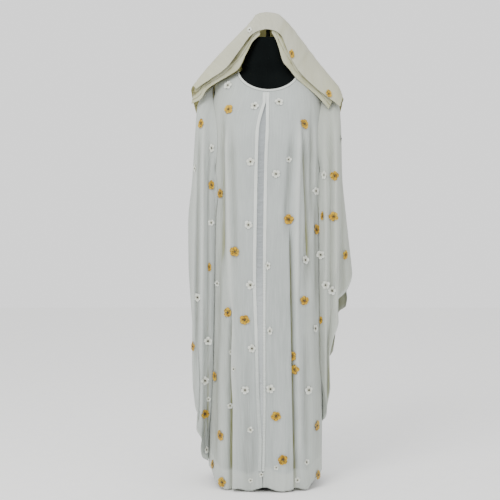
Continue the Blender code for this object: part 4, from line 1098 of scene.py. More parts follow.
@dataclass(frozen=True)
class ClothFinish:
    """Crepe chiffon: its tone on flats and doubled hems, a painted highlight on ridges, painted shade in
    valleys and deep creases, a warm tint, and how see-through it is.
    """

    name: str
    tone: Colour
    # Painted highlight on the tops of folds.
    ridge_highlight: Colour
    # Painted shade in fold valleys.
    valley_shade: Colour
    # Painted shade in the deepest creases and gaps.
    deep: Colour
    hem: Colour
    # Tint from the warm mark: painted light on the body panels, sleeves and inset; elsewhere just a tint.
    warm: Colour
    grain_scale: float = 950.0
    streak: tuple[float, float, float] = (240.0, 11.0, 1.0)
    streak_depth: float = 0.0009
    see_through: float = 0.28

    def make(self) -> Material:
        """The cloth's material.

        Returns:
            The material.
        """
        recipe = Recipe(self.name)
        pattern = recipe.add("ShaderNodeTexCoord").outputs["UV"]
        fold = recipe.mark("fold")
        # Painted highlight on the raised tops of folds and painted shade in their valleys, both read from the
        # fold mark.
        colour = recipe.mix(recipe.ramp(fold, 0.0, 0.55), self.tone, self.ridge_highlight)
        colour = recipe.mix(recipe.ramp(fold, -0.05, -0.65), colour, self.valley_shade)
        # The warm mark's tint, painted light where the body, sleeves and inset set it.
        colour = recipe.mix(recipe.ramp(recipe.mark("warm"), 0.0, 1.0, 0.0, 0.8), colour, self.warm)
        # Painted shade: the deepest creases and the gaps between veil layers take the darkest tone.
        colour = recipe.mix(recipe.ramp(fold, -0.66, -0.98), colour, self.deep)
        colour = recipe.mix(recipe.ramp(recipe.mark("hem"), 0.0, 1.0, 0.0, 0.7), colour, self.hem)
        # Random patches lean a little towards the valley shade colour, and the fine streaks towards the ridge
        # highlight colour.
        patches = recipe.noise(pattern, 9.0, 3.0)
        shade = recipe.mix(recipe.ramp(patches, 0.35, 0.7, 0.0, 0.20), colour, self.valley_shade)
        threads = recipe.noise(recipe.stretched(pattern, self.streak), 1.0, 3.0)
        shade = recipe.mix(recipe.ramp(threads, 0.42, 0.72, 0.0, 0.36), shade, self.ridge_highlight)
        grain = recipe.noise(pattern, self.grain_scale, 2.0)
        normal = recipe.bump(threads, 0.5, self.streak_depth)
        normal = recipe.bump(grain, 0.35, 0.00025, normal)
        body = recipe.add(
            "ShaderNodeBsdfPrincipled",
            Base_Color=shade, Roughness=0.85, Sheen_Weight=0.18, Sheen_Roughness=0.45, Normal=normal,
        )
        through = recipe.add("ShaderNodeBsdfTranslucent", Color=shade, Normal=normal)
        return recipe.finish(
            recipe.add("ShaderNodeMixShader", Fac=self.see_through, _1=body.outputs[0], _2=through.outputs[0])
        )


@dataclass(frozen=True)
class PetalFinish:
    """Flower cloth: its tone at the heart and at the tips, and the tone that some petals lean to. On the
    white flowers the darker heart is painted shade at the foot of the petals; on the yellow ones it is their
    own deeper colour.
    """

    name: str
    heart: Colour
    tip: Colour
    other: Colour
    speckle: float = 0.4

    def make(self) -> Material:
        """The petals' material.

        Returns:
            The material.
        """
        recipe = Recipe(self.name)
        places = recipe.add("ShaderNodeTexCoord").outputs["Object"]
        colour = recipe.mix(recipe.ramp(recipe.mark("tip"), 0.12, 0.62), self.heart, self.tip)
        colour = recipe.mix(recipe.ramp(recipe.mark("tone"), 0.3, 1.0, 0.0, 0.55), colour, self.other)
        spots = recipe.noise(places, 210.0, 3.0)
        colour = recipe.mix(recipe.ramp(spots, 0.47, 0.66, 0.0, self.speckle), colour, self.heart)
        normal = recipe.bump(recipe.noise(places, 900.0, 2.0), 0.4, 0.0003)
        return recipe.finish(recipe.add(
            "ShaderNodeBsdfPrincipled", Base_Color=colour, Roughness=0.8, Sheen_Weight=0.2, Normal=normal,
        ))


@dataclass(frozen=True)
class HardFinish:
    """A plain hard or knitted surface: tone, a second tone in patches, gloss and grain."""

    name: str
    tone: Colour
    patch: Colour
    roughness: float
    grain_scale: float
    grain_depth: float
    metal: float = 0.0
    coat: float = 0.0
    seam: float = 0.0
    shine: float = 0.5

    def make(self) -> Material:
        """The material.

        Returns:
            The material.
        """
        recipe = Recipe(self.name)
        places = recipe.add("ShaderNodeTexCoord").outputs["Object"]
        wide = recipe.noise(places, 18.0, 3.0)
        colour = recipe.mix(recipe.ramp(wide, 0.35, 0.7, 0.0, 0.7), self.tone, self.patch)
        normal = recipe.bump(recipe.noise(places, self.grain_scale, 2.0), 0.5, self.grain_depth)
        if self.seam:
            across = recipe.add("ShaderNodeSeparateXYZ", Vector=places).outputs["X"]
            from_middle = recipe.add("ShaderNodeMath", {"operation": "ABSOLUTE"}, _0=across).outputs[0]
            groove = recipe.ramp(from_middle, 0.0, self.seam)
            normal = recipe.bump(groove, 0.8, 0.0008, normal)
        return recipe.finish(recipe.add(
            "ShaderNodeBsdfPrincipled", Base_Color=colour, Roughness=self.roughness, Metallic=self.metal,
            Coat_Weight=self.coat, Specular_IOR_Level=self.shine, Normal=normal,
        ))


CHIFFON = ClothFinish(
    "ivory_chiffon", tone=srgb(191, 198, 197), ridge_highlight=srgb(213, 218, 216), valley_shade=srgb(150, 156, 153),
    deep=srgb(138, 140, 90), hem=srgb(213, 218, 211), warm=srgb(190, 193, 172),
)
# Painted shade: a darker, warmer copy of the chiffon for the inner faces and rims.
CHIFFON_SHADED_INSIDE = ClothFinish(
    "ivory_chiffon_inside", tone=srgb(164, 168, 152), ridge_highlight=srgb(176, 180, 166), valley_shade=srgb(138, 142, 118),
    deep=srgb(126, 128, 90), hem=srgb(176, 179, 166), warm=srgb(156, 157, 130),
)
INSET = ClothFinish(
    "crinkled_inset", tone=srgb(172, 178, 181), ridge_highlight=srgb(188, 193, 195), valley_shade=srgb(146, 152, 152),
    deep=srgb(128, 134, 126), hem=srgb(178, 183, 183), warm=srgb(204, 209, 208), streak=(14.0, 170.0, 1.0),
    streak_depth=0.0010,
)
EDGING = ClothFinish(
    "edging_band", tone=srgb(202, 207, 202), ridge_highlight=srgb(216, 220, 216), valley_shade=srgb(168, 174, 162),
    deep=srgb(150, 154, 138), hem=srgb(204, 208, 203), warm=srgb(174, 181, 178), streak=(60.0, 200.0, 1.0),
    streak_depth=0.0003, see_through=0.10,
)
VEIL_CLOTH = ClothFinish(
    "veil_chiffon", tone=srgb(209, 209, 194), ridge_highlight=srgb(222, 222, 208), valley_shade=srgb(170, 169, 136),
    deep=srgb(116, 110, 62), hem=srgb(214, 214, 202), warm=srgb(202, 203, 158), see_through=0.36,
)
# Painted shade: a darker, olive copy of the veil chiffon for the inner faces and rims.
VEIL_SHADED_INSIDE = ClothFinish(
    "veil_chiffon_inside", tone=srgb(190, 185, 138), ridge_highlight=srgb(202, 198, 156), valley_shade=srgb(168, 162, 110),
    deep=srgb(140, 134, 84), hem=srgb(202, 198, 156), warm=srgb(184, 178, 128), see_through=0.50,
)
# The white petals' heart tone is painted shade.
WHITE_PETALS = PetalFinish("white_petals", srgb(160, 162, 138), srgb(212, 215, 209), srgb(200, 203, 194), 0.5)
YELLOW_PETALS = PetalFinish("yellow_petals", srgb(74, 50, 6), srgb(190, 146, 6), srgb(204, 172, 44), 0.9)
BEAD = HardFinish("dark_bead", srgb(30, 26, 16), srgb(66, 52, 30), 0.3, 900.0, 0.0001, coat=0.5)
GREEN_THREAD = HardFinish("grey_green_thread", srgb(138, 144, 118), srgb(158, 162, 138), 0.8, 1500.0, 0.0001)
PALE_THREAD = HardFinish("pale_thread", srgb(192, 196, 188), srgb(178, 182, 172), 0.75, 1500.0, 0.0001)
JERSEY = HardFinish(
    "black_jersey", srgb(7, 10, 10), srgb(11, 15, 15), 0.95, 1100.0, 0.0003, seam=0.0022, shine=0.06
)
FORM_PAINT = HardFinish(
    "black_paint", srgb(10, 12, 12), srgb(18, 21, 21), 0.42, 300.0, 0.0001, coat=0.1, shine=0.3
)
POLE_METAL = HardFinish("dark_metal", srgb(40, 42, 44), srgb(56, 58, 60), 0.35, 400.0, 0.0001, metal=0.8)
FLOOR_PAPER = HardFinish("pale_floor", srgb(248, 248, 247), srgb(251, 251, 250), 0.9, 40.0, 0.0002)


class GrowTree(NodeLayout):
    """Geometry nodes that place a unit on points or along lines, with all sizes as named inputs."""

    SOCKETS = {
        "Unit": "NodeSocketObject",
        "Count": "NodeSocketInt",
        "First turn": "NodeSocketFloat",
        "Turn spread": "NodeSocketFloat",
        "Size spread": "NodeSocketFloat",
        "Flutter": "NodeSocketFloat",
        "Spacing": "NodeSocketFloat",
        "Seed": "NodeSocketInt",
        "Finish": "NodeSocketMaterial",
    }

    def __init__(self, name: str) -> None:
        """Starts a tree with its named inputs.

        Args:
            name: The tree's name.
        """
        self.tree = bpy.data.node_groups.new(name, "GeometryNodeTree")
        face = self.tree.interface
        face.new_socket("Geometry", in_out="INPUT", socket_type="NodeSocketGeometry")
        for label, kind in self.SOCKETS.items():
            face.new_socket(label, in_out="INPUT", socket_type=kind)
        face.new_socket("Geometry", in_out="OUTPUT", socket_type="NodeSocketGeometry")
        self.inputs = self.tree.nodes.new("NodeGroupInput").outputs
        self.output = self.tree.nodes.new("NodeGroupOutput").inputs

    def maths(self, operation: str, first: object, second: object) -> Socket:
        """A sum or product."""
        return self.add("ShaderNodeMath", {"operation": operation}, _0=first, _1=second).outputs[0]

    def random(self, spread: Socket, offset: int) -> Socket:
        """A random value on both sides of zero.

        Args:
            spread: The largest value.
            offset: A number that gives each use of the seed its own values.

        Returns:
            The value.
        """
        low = self.maths("MULTIPLY", spread, -1.0)
        seed = self.maths("ADD", self.inputs["Seed"], float(offset))
        node = self.add("FunctionNodeRandomValue", {"data_type": "FLOAT"})
        for socket, value in ((node.inputs[2], low), (node.inputs[3], spread), (node.inputs["Seed"], seed)):
            self.join(value, socket)
        return node.outputs[1]

    def read(self, name: str) -> Socket:
        """A mark of the points."""
        return self.add("GeometryNodeInputNamedAttribute", {"data_type": "FLOAT"}, Name=name).outputs[0]

    def end(self, instances: Socket) -> Tree:
        """Ends the tree: a tone for each unit, real geometry, a little flutter and the finish.

        Args:
            instances: The placed units.

        Returns:
            The tree.
        """
        seed = self.inputs["Seed"]
        half = self.add("FunctionNodeRandomValue", {"data_type": "FLOAT"}, Seed=seed).outputs[1]
        toned = self.add(
            "GeometryNodeStoreNamedAttribute", {"data_type": "FLOAT", "domain": "INSTANCE"},
            Geometry=instances, Name="tone", Value=half,
        )
        real = self.add("GeometryNodeRealizeInstances", Geometry=toned.outputs[0])
        noise = self.add("ShaderNodeTexNoise", {"noise_dimensions": "3D"}, Scale=170.0, Detail=1.0)
        colour = noise.outputs["Color"]
        middle = self.add("ShaderNodeVectorMath", {"operation": "SUBTRACT"}, _0=colour, _1=(0.5, 0.5, 0.5))
        flutter = self.inputs["Flutter"]
        scaled = self.add("ShaderNodeVectorMath", {"operation": "SCALE"}, _0=middle.outputs[0], Scale=flutter)
        moved = self.add("GeometryNodeSetPosition", Geometry=real.outputs[0], Offset=scaled.outputs[0])
        finish = self.inputs["Finish"]
        dressed = self.add("GeometryNodeSetMaterial", Geometry=moved.outputs[0], Material=finish)
        self.tree.links.new(dressed.outputs[0], self.output[0])
        return self.tree


def ring_tree() -> Tree:
    """A tree that turns several copies of a unit about each point.

    Returns:
        The tree.
    """
    grow = GrowTree("units_about_points")
    copies = grow.add(
        "GeometryNodeDuplicateElements", {"domain": "POINT"}, Geometry=grow.inputs["Geometry"],
        Amount=grow.inputs["Count"],
    )
    step = grow.maths("DIVIDE", 2 * math.pi, grow.inputs["Count"])
    angle = grow.maths("MULTIPLY", copies.outputs["Duplicate Index"], step)
    angle = grow.maths("ADD", angle, grow.read("turn"))
    angle = grow.maths("ADD", angle, grow.inputs["First turn"])
    angle = grow.maths("ADD", angle, grow.random(grow.inputs["Turn spread"], 1))
    size = grow.maths("ADD", grow.random(grow.inputs["Size spread"], 2), 1.0)
    size = grow.maths("MULTIPLY", size, grow.read("size"))
    shape = grow.add("GeometryNodeObjectInfo", {"transform_space": "ORIGINAL"}, Object=grow.inputs["Unit"])
    turn = grow.add("ShaderNodeCombineXYZ", Z=angle)
    placed = grow.add(
        "GeometryNodeInstanceOnPoints", Points=copies.outputs["Geometry"], Instance=shape.outputs["Geometry"],
        Rotation=turn.outputs[0], Scale=size,
    )
    return grow.end(placed.outputs[0])


def line_tree() -> Tree:
    """A tree that lays units end to end along lines.

    Returns:
        The tree.
    """
    grow = GrowTree("units_along_lines")
    curve = grow.add("GeometryNodeMeshToCurve", Mesh=grow.inputs["Geometry"])
    points = grow.add(
        "GeometryNodeCurveToPoints", {"mode": "LENGTH"}, Curve=curve.outputs[0], Length=grow.inputs["Spacing"]
    )
    along = grow.add("FunctionNodeAlignRotationToVector", {"axis": "X"}, Vector=points.outputs["Tangent"])
    size = grow.maths("ADD", grow.random(grow.inputs["Size spread"], 2), 1.0)
    shape = grow.add("GeometryNodeObjectInfo", {"transform_space": "ORIGINAL"}, Object=grow.inputs["Unit"])
    placed = grow.add(
        "GeometryNodeInstanceOnPoints", Points=points.outputs["Points"], Instance=shape.outputs["Geometry"],
        Rotation=along.outputs[0], Scale=size,
    )
    return grow.end(placed.outputs[0])


def grown(name: str, carrier: Mesh, tree: Tree, **values: object) -> Mesh:
    """Runs a tree on a carrier mesh and keeps the result as a plain mesh.

    Args:
        name: The new mesh's name.
        carrier: Points or lines.
        tree: The tree.
        values: Its inputs, with _ for a space in the name.

    Returns:
        The mesh.
    """
    holder = link_object(name + "_carrier", carrier)
    modifier = holder.modifiers.new("Grow", "NODES")
    modifier.node_group = tree
    for item in tree.interface.items_tree:
        if item.item_type == "SOCKET" and item.in_out == "INPUT" and item.name.replace(" ", "_") in values:
            modifier[item.identifier] = values[item.name.replace(" ", "_")]
    graph = bpy.context.evaluated_depsgraph_get()
    evaluated = holder.evaluated_get(graph)
    mesh = bpy.data.meshes.new_from_object(evaluated, preserve_all_data_layers=True, depsgraph=graph)
    mesh.name = name
    bpy.data.objects.remove(holder)
    return mesh


def unit_object(name: str, points: Array, faces: list, marks: dict[str, Array] | None = None) -> Piece:
    """A small unit that a tree repeats; it is removed when all is grown.

    Args:
        name: Its name.
        points: Its points.
        faces: Its faces.
        marks: Marks on its points.

    Returns:
        The unit.
    """
    mesh = bpy.data.meshes.new(name)
    mesh.from_pydata([tuple(map(float, point)) for point in points], [], faces)
    for face in mesh.polygons:
        face.use_smooth = True
    for label, values in (marks or {}).items():
        mark = mesh.attributes.new(label, "FLOAT", "POINT")
        mark.data.foreach_set("value", np.asarray(values, np.float32))
    return link_object(name, mesh)


def stitch_unit(length: float = 0.0026, radius: float = 0.00028, sides: int = 5) -> Piece:
    """A short thread that lies along X, thick in the middle.

    Args:
        length: Its length.
        radius: Its radius in the middle.
        sides: How many sides it has.

    Returns:
        The unit.
    """
    rings = ((-0.5, 0.35), (-0.2, 1.0), (0.2, 1.0), (0.5, 0.35))
    points = [
        (length * place, radius * size * math.cos(turn), radius * size * math.sin(turn))
        for place, size in rings
        for turn in (2 * math.pi * step / sides for step in range(sides))
    ]
    faces = [
        (start + step, start + (step + 1) % sides, start + sides + (step + 1) % sides, start + sides + step)
        for start in range(0, sides * (len(rings) - 1), sides)
        for step in range(sides)
    ]
    faces += [tuple(range(sides))[::-1], tuple(range(len(points) - sides, len(points)))]
    return unit_object("stitch_unit", np.array(points), faces)


@dataclass(frozen=True)
class PetalShape:
    """One petal: its reach, width, cup and frill, and how wide its foot is against its middle."""

    reach: float
    width: float
    cup: float
    frill: float
    waist: float

    def unit(self, name: str) -> Piece:
        """The petal as a unit that points along X.

        Args:
            name: The unit's name.

        Returns:
            The unit.
        """
        points, tips = [], []
        lengths, columns = (0.10, 0.28, 0.50, 0.72, 0.90, 1.0), 5
        for share in lengths:
            wide = self.width * (self.waist + (1 - self.waist) * math.sin(math.pi * min(share, 0.72) / 1.44))
            wide *= math.sqrt(max(0.0, 1 - max(0.0, (share - 0.62) / 0.44) ** 2.4))
            for side in np.linspace(-1, 1, columns):
                x = self.reach * (share - 0.05 * side**2 * share)
                y = wide * side
                height = self.cup * math.sin(math.pi * share * 0.62) * (0.55 + 0.45 * side**2)
                height += self.frill * share * math.cos(side * 5.2) * 0.5
                points.append((x, y, 0.0006 + height))
                tips.append(share)
        faces = [
            (start + step, start + columns + step, start + columns + step + 1, start + step + 1)
            for start in range(0, columns * (len(lengths) - 1), columns)
            for step in range(columns - 1)
        ]
        return unit_object(name, np.array(points), faces, {"tip": np.array(tips)})


def bead_unit(radius: float = 0.0034, flatness: float = 0.75) -> Piece:
    """A round bead that stands on the cloth.

    Args:
        radius: Its radius.
        flatness: Its height against its width.

    Returns:
        The unit.
    """
    made = bmesh.new()
    bmesh.ops.create_icosphere(made, subdivisions=2, radius=radius)
    points = np.array([(v.co.x, v.co.y, v.co.z * flatness + radius * 0.75) for v in made.verts])
    faces = [tuple(v.index for v in face.verts) for face in made.faces]
    made.free()
    return unit_object("bead_unit", points, faces)


@dataclass(frozen=True)
class Handover:
    """A piece's slot, the nodes it stands for and, for cloth, its cut; giving the piece uses only the nodes.
    """

    slot: str
    nodes: tuple[str, ...] = ()
    flat: tuple[float, float] | None = None
    area: float | None = None
    held: str = "hung"
    rests_on: tuple[str, ...] = ()

    def give(self, piece: Piece, with_pieces: tuple = ()) -> None:
        """Hangs the piece under the root, hides the nodes it stands for and logs its faces.

        Args:
            piece: The piece.
            with_pieces: Not used.
        """
        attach(piece, "root")
        if self.nodes:
            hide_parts(*self.nodes)
        box = f", box {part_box(self.nodes[0])}" if self.nodes else ""
        LOG.info("%s: %d faces%s", piece.name, len(piece.data.polygons), box)


def shares(count_u: int, count_v: int, around: bool = False) -> tuple[Array, Array]:
    """Even shares over a grid.

    Args:
        count_u: How many across.
        count_v: How many along.
        around: Whether the grid closes across, so that the last share isn't the first again.

    Returns:
        The shares across and along.
    """
    across = np.linspace(0, 1, count_u, endpoint=not around)
    return np.meshgrid(across, np.linspace(0, 1, count_v), indexing="ij")


def line_at(grid: ClothGrid, distance: float, lift: float = 0.0004, from_end: bool = False) -> Array:
    """A line on a piece of cloth, a fixed way in from its first or last row.

    Args:
        grid: The cloth.
        distance: How far in, in metres.
        lift: How far above the cloth's middle.
        from_end: Whether it is counted from the last row.

    Returns:
        The line's points.
    """
    points = grid.moved(lift)
    along = grid.lengths()[1]
    line = []
    for place, row in zip(along, points):
        at = place[-1] - distance if from_end else distance
        line.append([np.interp(at, place, row[:, axis]) for axis in range(3)])
    return np.array(line)


def lines_mesh(name: str, lines: list[tuple[Array, bool]]) -> Mesh:
    """A mesh of lines for stitches to follow.

    Args:
        name: Its name.
        lines: Points of each line, and whether it closes.

    Returns:
        The mesh.
    """
    points, edges = [], []
    for line, closed in lines:
        start = len(points)
        points += [tuple(map(float, point)) for point in line]
        count = len(line)
        links = range(count if closed else count - 1)
        edges += [(start + index, start + (index + 1) % count) for index in links]
    mesh = bpy.data.meshes.new(name)
    mesh.from_pydata(points, edges, [])
    return mesh


def ring_away(points: Array) -> Array:
    """Vectors out of a tube, from the middle of each ring."""
    return points - points.mean(axis=0, keepdims=True)


@dataclass
class KaftanBody:
    """The two fronts, the back, the centre inset and the two bands beside it."""

    front_grid: tuple[int, int] = (112, 230)
    back_grid: tuple[int, int] = (200, 190)
    inset_grid: tuple[int, int] = (14, 620)
    band_grid: tuple[int, int] = (7, 520)
    hem_depth: float = 0.060
    hem_edge: float = 0.009
    full_fold: float = 0.014
    inset_depth: float = 0.004
    inset_line: float = 0.004
    inset_crinkle: float = 0.00034
    inset_waves: tuple[float, ...] = (0.0065, 0.0094, 0.0141, 0.022)
    inset_seed: int = 31
    band_lift: float = 0.0012
    band_crown: float = 0.0006
    band_pucker: float = 0.0004
    band_wall: float = 0.0009
    band_gather: float = 0.0092
    front: Drape = FRONT_DRAPE
    back: Drape = BACK_DRAPE
    grids: dict[str, ClothGrid] = field(default_factory=dict)

    def panel(self, name: str, surfaces: list[BodyPanel], size: tuple[int, int]) -> ClothGrid:
        """A grid over one panel, or over two that meet at the centre line.

        Args:
            name: The piece's name.
            surfaces: One panel, or the right and the left one.
            size: Points across and up.

        Returns:
            The grid.
        """
        u, v = shares(*size)
        if len(surfaces) == 1:
            points = surfaces[0].points(u, v)
            x, z = surfaces[0].place(u, v)
        else:
            right, left = surfaces
            halves = [surface.points(np.abs(2 * u - 1), v) for surface in (right, left)]
            places = [surface.place(np.abs(2 * u - 1), v) for surface in (right, left)]
            points = np.where((u < 0.5)[..., None], halves[0], halves[1])
            x = np.where(u < 0.5, places[0][0], places[1][0])
            z = np.where(u < 0.5, places[0][1], places[1][1])
        drape = surfaces[0].drape
        away = np.array([0.0, surfaces[0].face.value, 0.0])
        grid = ClothGrid(name, points, away)
        # Painted highlight and shade: the fold mark follows how far the folds and ripples push the cloth out.
        fold = (drape.fold(x, z) + 0.6 * drape.ripple(x, z)) / self.full_fold
        hem_depth = self.hem_depth * (1 + 0.08 * np.sin(x * 47 + 2))
        hem = 1 - smoothstep((grid.lengths()[1] - hem_depth) / self.hem_edge)
        # Painted light: warmer towards the sides, for light coming through the layered cloth, cooler in the
        # middle where the black form backs it.
        warm = 0.10 + 0.35 * smoothstep((np.abs(x) - 0.06) / 0.14)
        # Painted shade: the lower body turns darker, as the light falls from above.
        fold = fold - 0.14 * smoothstep((1.06 - z) / 0.4)
        grid.marks = {"fold": np.clip(fold, -1, 1), "hem": hem * (0.78 + 0.22 * np.sin(x * 31)), "warm": warm}
        return grid

    def build(self) -> None:
        """Works out every grid of the body."""
        self.grids["front_right"] = self.panel("front_right_cloth", [
            BodyPanel(Side.RIGHT, Face.FRONT, self.front, FRONT_HEM, right_edge, NECK_FRONT_HEIGHT)
        ], self.front_grid)
        self.grids["front_left"] = self.panel("front_left_cloth", [
            BodyPanel(Side.LEFT, Face.FRONT, self.front, FRONT_HEM, left_edge, NECK_FRONT_HEIGHT)
        ], self.front_grid)
        self.grids["back"] = self.panel("back_cloth", [
            BodyPanel(side, Face.BACK, self.back, BACK_HEM, no_edge, NECK_BACK_HEIGHT)
            for side in (Side.RIGHT, Side.LEFT)
        ], self.back_grid)
        self.grids["centre_inset"] = self.inset()
        for name, side in (("band_right", Side.RIGHT), ("band_left", Side.LEFT)):
            self.grids[name] = self.band(name, side)

    def inset(self) -> ClothGrid:
        """The inset between the front edges, hollowed a little and crinkled across.

        Returns:
            The grid.
        """
        u, v = shares(*self.inset_grid)
        z = centre_height(0.04 + 0.957 * v)
        start = right_edge(z) + SEAM_GAP
        end = left_edge(z) - SEAM_GAP
        x = start + (end - start) * u
        points = draped(x, z, Face.FRONT, self.front)
        room = np.clip((end - start) / 0.02, 0, 1)
        rng = np.random.default_rng(self.inset_seed)
        crinkle = np.zeros_like(z)
        for wave in self.inset_waves:
            phase = rng.uniform(0, 6) + 1.4 * np.sin(u * rng.uniform(2, 5) + z * rng.uniform(18, 40))
            strength = 0.4 + 0.6 * np.sin(z * rng.uniform(9, 30)) ** 2
            crinkle += np.sin(2 * math.pi * z / wave + phase) * strength
        held = smoothstep((1.25 - z) / 0.12)
        low = smoothstep((0.85 - z) / 0.3)
        points[..., 1] += self.inset_depth * room * np.sin(math.pi * u) ** 2 * (1 - 0.75 * low)
        points[..., 1] += self.inset_crinkle * crinkle * held * np.sin(math.pi * u) ** 0.5
        line = self.front.fold(x, z) / self.inset_line
        # Painted light and shade: darker higher up where the inset lies recessed, lit and shaded along its
        # crinkles, darker in fold troughs, and lighter lower down, where the warm mark lifts it against the
        # shade of its recess.
        shade = -0.22 * (1 - low) + (0.10 + 0.06 * low) * crinkle * held + np.minimum(line, 0)
        marks = {"fold": np.clip(shade, -1, 1), "hem": 0 * u, "warm": low}
        return ClothGrid("centre_inset_cloth", points, np.array([0.0, -1.0, 0.0]), marks=marks)

    def band(self, name: str, side: Side) -> ClothGrid:
        """A narrow band over a front's inner edge, puckered lower down on the wearer's left.

        Args:
            name: The node's name.
            side: Which front it lies on.

        Returns:
            The grid.
        """
        u, v = shares(*self.band_grid)
        z = centre_height(0.04 + 0.9575 * v)
        middle = left_edge(z) + 0.001
        if side is Side.RIGHT:
            middle = np.minimum(right_edge(z), middle - BAND_WIDTH - 2 * SEAM_GAP)
        low = smoothstep((0.86 - z) / 0.2) if side is Side.LEFT else 0 * z
        gather = np.sin(2 * math.pi * z / self.band_gather + 1.5 * np.sin(z * 61))
        gather *= low * (0.55 + 0.45 * np.sin(z * 37))
        width = BAND_WIDTH * (1 + 0.04 * np.sin(z * 83) + 0.05 * gather - 0.2 * low)
        points = draped(middle + (u - 0.5) * width, z, Face.FRONT, self.front)
        crown = 1 - (2 * u - 1) ** 2
        points[..., 1] -= self.band_lift + self.band_crown * crown + self.band_pucker * gather * crown
        warm = smoothstep((0.62 - z) / 0.3) * (1.0 if side is Side.RIGHT else 0.5)
        shade = 0.35 * (1 - 0.5 * warm) + 0.45 * gather - 0.7 * low * (1 - crown)
        marks = {"fold": np.clip(shade, -1, 1), "hem": 0 * u, "warm": warm}
        away = np.array([0.0, -1.0, 0.0])
        return ClothGrid(name + "_cloth", points, away, thickness=self.band_wall, marks=marks)


@dataclass
class NeckBinding:
    """The narrow rolled binding round the neck."""

    count: int = 260
    width: float = 0.0085
    thickness: float = 0.0024
    gap: float = 0.0006
    lift: float = 0.0003
    sides: int = 14
    lean: float = 0.75
    rise_side: float = 0.66
    rise_centre: float = 0.9
    pucker: float = 0.07
    puckers: int = 97

    def sections(self) -> Array:
        """The binding as a closed ring of oval sections.

        Returns:
            Its points, with u round the neck and v round the section, (u, v, 3).
        """
        turn = 2 * math.pi * np.arange(self.count) / self.count
        lines = []
        for rise in (0.0, 1.0):
            half = NECK_HALF_WIDTH - self.gap - rise * self.width * self.lean
            side_z = NECK_SIDE_HEIGHT + self.gap + rise * self.width * self.rise_side
            centre = np.where(np.cos(turn) > 0, NECK_FRONT_HEIGHT, NECK_BACK_HEIGHT) + self.gap
            centre = centre + rise * self.width * self.rise_centre
            x = half * np.sin(turn)
            z = side_z - (side_z - centre) * np.abs(np.cos(turn))
            front, back = body_point(x, z, Face.FRONT), body_point(x, z, Face.BACK)
            lines.append(np.where((np.cos(turn) > 0)[:, None], front, back))
        low, high = lines
        along = unit(np.roll(low, -1, axis=0) - np.roll(low, 1, axis=0))
        out = unit(np.cross(along, high - low))
        from_axis = low - np.array([0.0, 0.0, 1.0]) * low[:, 2:]
        out *= np.sign((out * from_axis).sum(axis=-1, keepdims=True))
        section = np.linspace(0, 2 * math.pi, self.sides, endpoint=False)
        pucker = 1 + self.pucker * np.sin(turn * self.puckers)[:, None, None]
        rise = (high - low)[:, None] * (0.5 - 0.5 * np.cos(section))[None, :, None]
        thick = out[:, None] * (self.thickness / 2 * np.sin(section))[None, :, None] * pucker
        return low[:, None] + rise + thick + out[:, None] * self.lift

    def build(self, finish: Material) -> Piece:
        """Makes the binding.

        Args:
            finish: Its material.

        Returns:
            The piece.
        """
        points = self.sections()
        index = np.arange(points[..., 0].size).reshape(points.shape[:2])
        roll = bpy.data.meshes.new("neck_binding_roll")
        fill_mesh(roll, points.reshape(-1, 3), quads(np.pad(index, ((0, 1), (0, 1)), mode="wrap")))
        made = bmesh.new()
        made.from_mesh(roll)
        bmesh.ops.recalc_face_normals(made, faces=made.faces)
        made.to_mesh(roll)
        made.free()
        roll.materials.append(finish)
        return link_object("neck_binding_roll", roll)


@dataclass
class Sleeve:
    """One wide winged sleeve with its cascading cuff."""

    side: Side
    rings: tuple[SleeveRing, ...]
    folds: tuple[Fold, ...]
    cuff: tuple[Cascade, ...]
    seed: int
    # How strongly the warm mark tints the sleeve: painted light coming through its layers.
    warm: float
    size: tuple[int, int] = (230, 150)
    full_fold: float = 0.010
    hem_depth: float = 0.014
    hem_edge: float = 0.002

    def build(self) -> ClothGrid:
        """Works out the sleeve's grid.

        Returns:
            The grid.
        """
        drape = Drape(self.folds, self.seed, ripple_top=0.0006, ripple_foot=0.0016)
        u, v = shares(*self.size, around=True)
        points = SleeveTube(self.side, self.rings, drape, self.cuff).points(u, v)
        grid = ClothGrid(f"sleeve_{self.side.name.lower()}_cloth", points, ring_away(points), around=True)
        x, z = points[..., 0], points[..., 2]
        # Painted highlight and shade: the fold mark follows how far the folds and ripples push the cloth out.
        fold = (drape.fold(x, z) + drape.ripple(x, z)) / self.full_fold
        share = (1 - np.cos(2 * math.pi * u)) / 2
        # Painted shade in the crevice where the sleeve tucks in beside the body.
        tuck_shade = np.exp(-(((share - SLEEVE_TUCK_PLACE) / 0.12) ** 2)) * smoothstep(v / 0.1)
        along = grid.lengths()[1]
        hem = smoothstep((along - along[:, -1:] + self.hem_depth) / self.hem_edge)
        # Painted light: a warm tint for light coming through the sleeve's layers, stronger towards its top.
        grid.marks = {"fold": np.clip(fold - 0.35 * tuck_shade, -1, 1), "hem": hem, "warm": self.warm + 0.25 * share}
        return grid


@dataclass(frozen=True)
class TuckedEdge:
    """The layers under one front edge of the veil: their table, number and cut, and how their shade fades."""

    side: Side
    rows: tuple[UnderRow, ...]
    count: int
    area: float
    area_step: float
    fade: float = 0.0
    cut: tuple[float, float] = (0.42, 0.06)
    cut_step: float = 0.012

    def node(self) -> str:
        """The name of the layers' node."""
        return f"veil_under_{self.side.name.lower()}"

    def handover(self, depth: int) -> Handover:
        """The handover for a layer.

        Args:
            depth: Which layer it is, 0 for the lowest.

        Returns:
            Its handover; the lowest layer stands for the node.
        """
        cut = (self.cut[0], self.cut[1] - self.cut_step * depth)
        area = self.area - self.area_step * depth
        return Handover("veil_chiffon", () if depth else (self.node(),), cut, area, "folded", ("veil_cloth",))


TUCKED_EDGES = (
    TuckedEdge(Side.RIGHT, VEIL_UNDER_RIGHT, 2, 0.019, 0.005),
    TuckedEdge(Side.LEFT, VEIL_UNDER_LEFT, 3, 0.0225, 0.0057, fade=0.3),
)


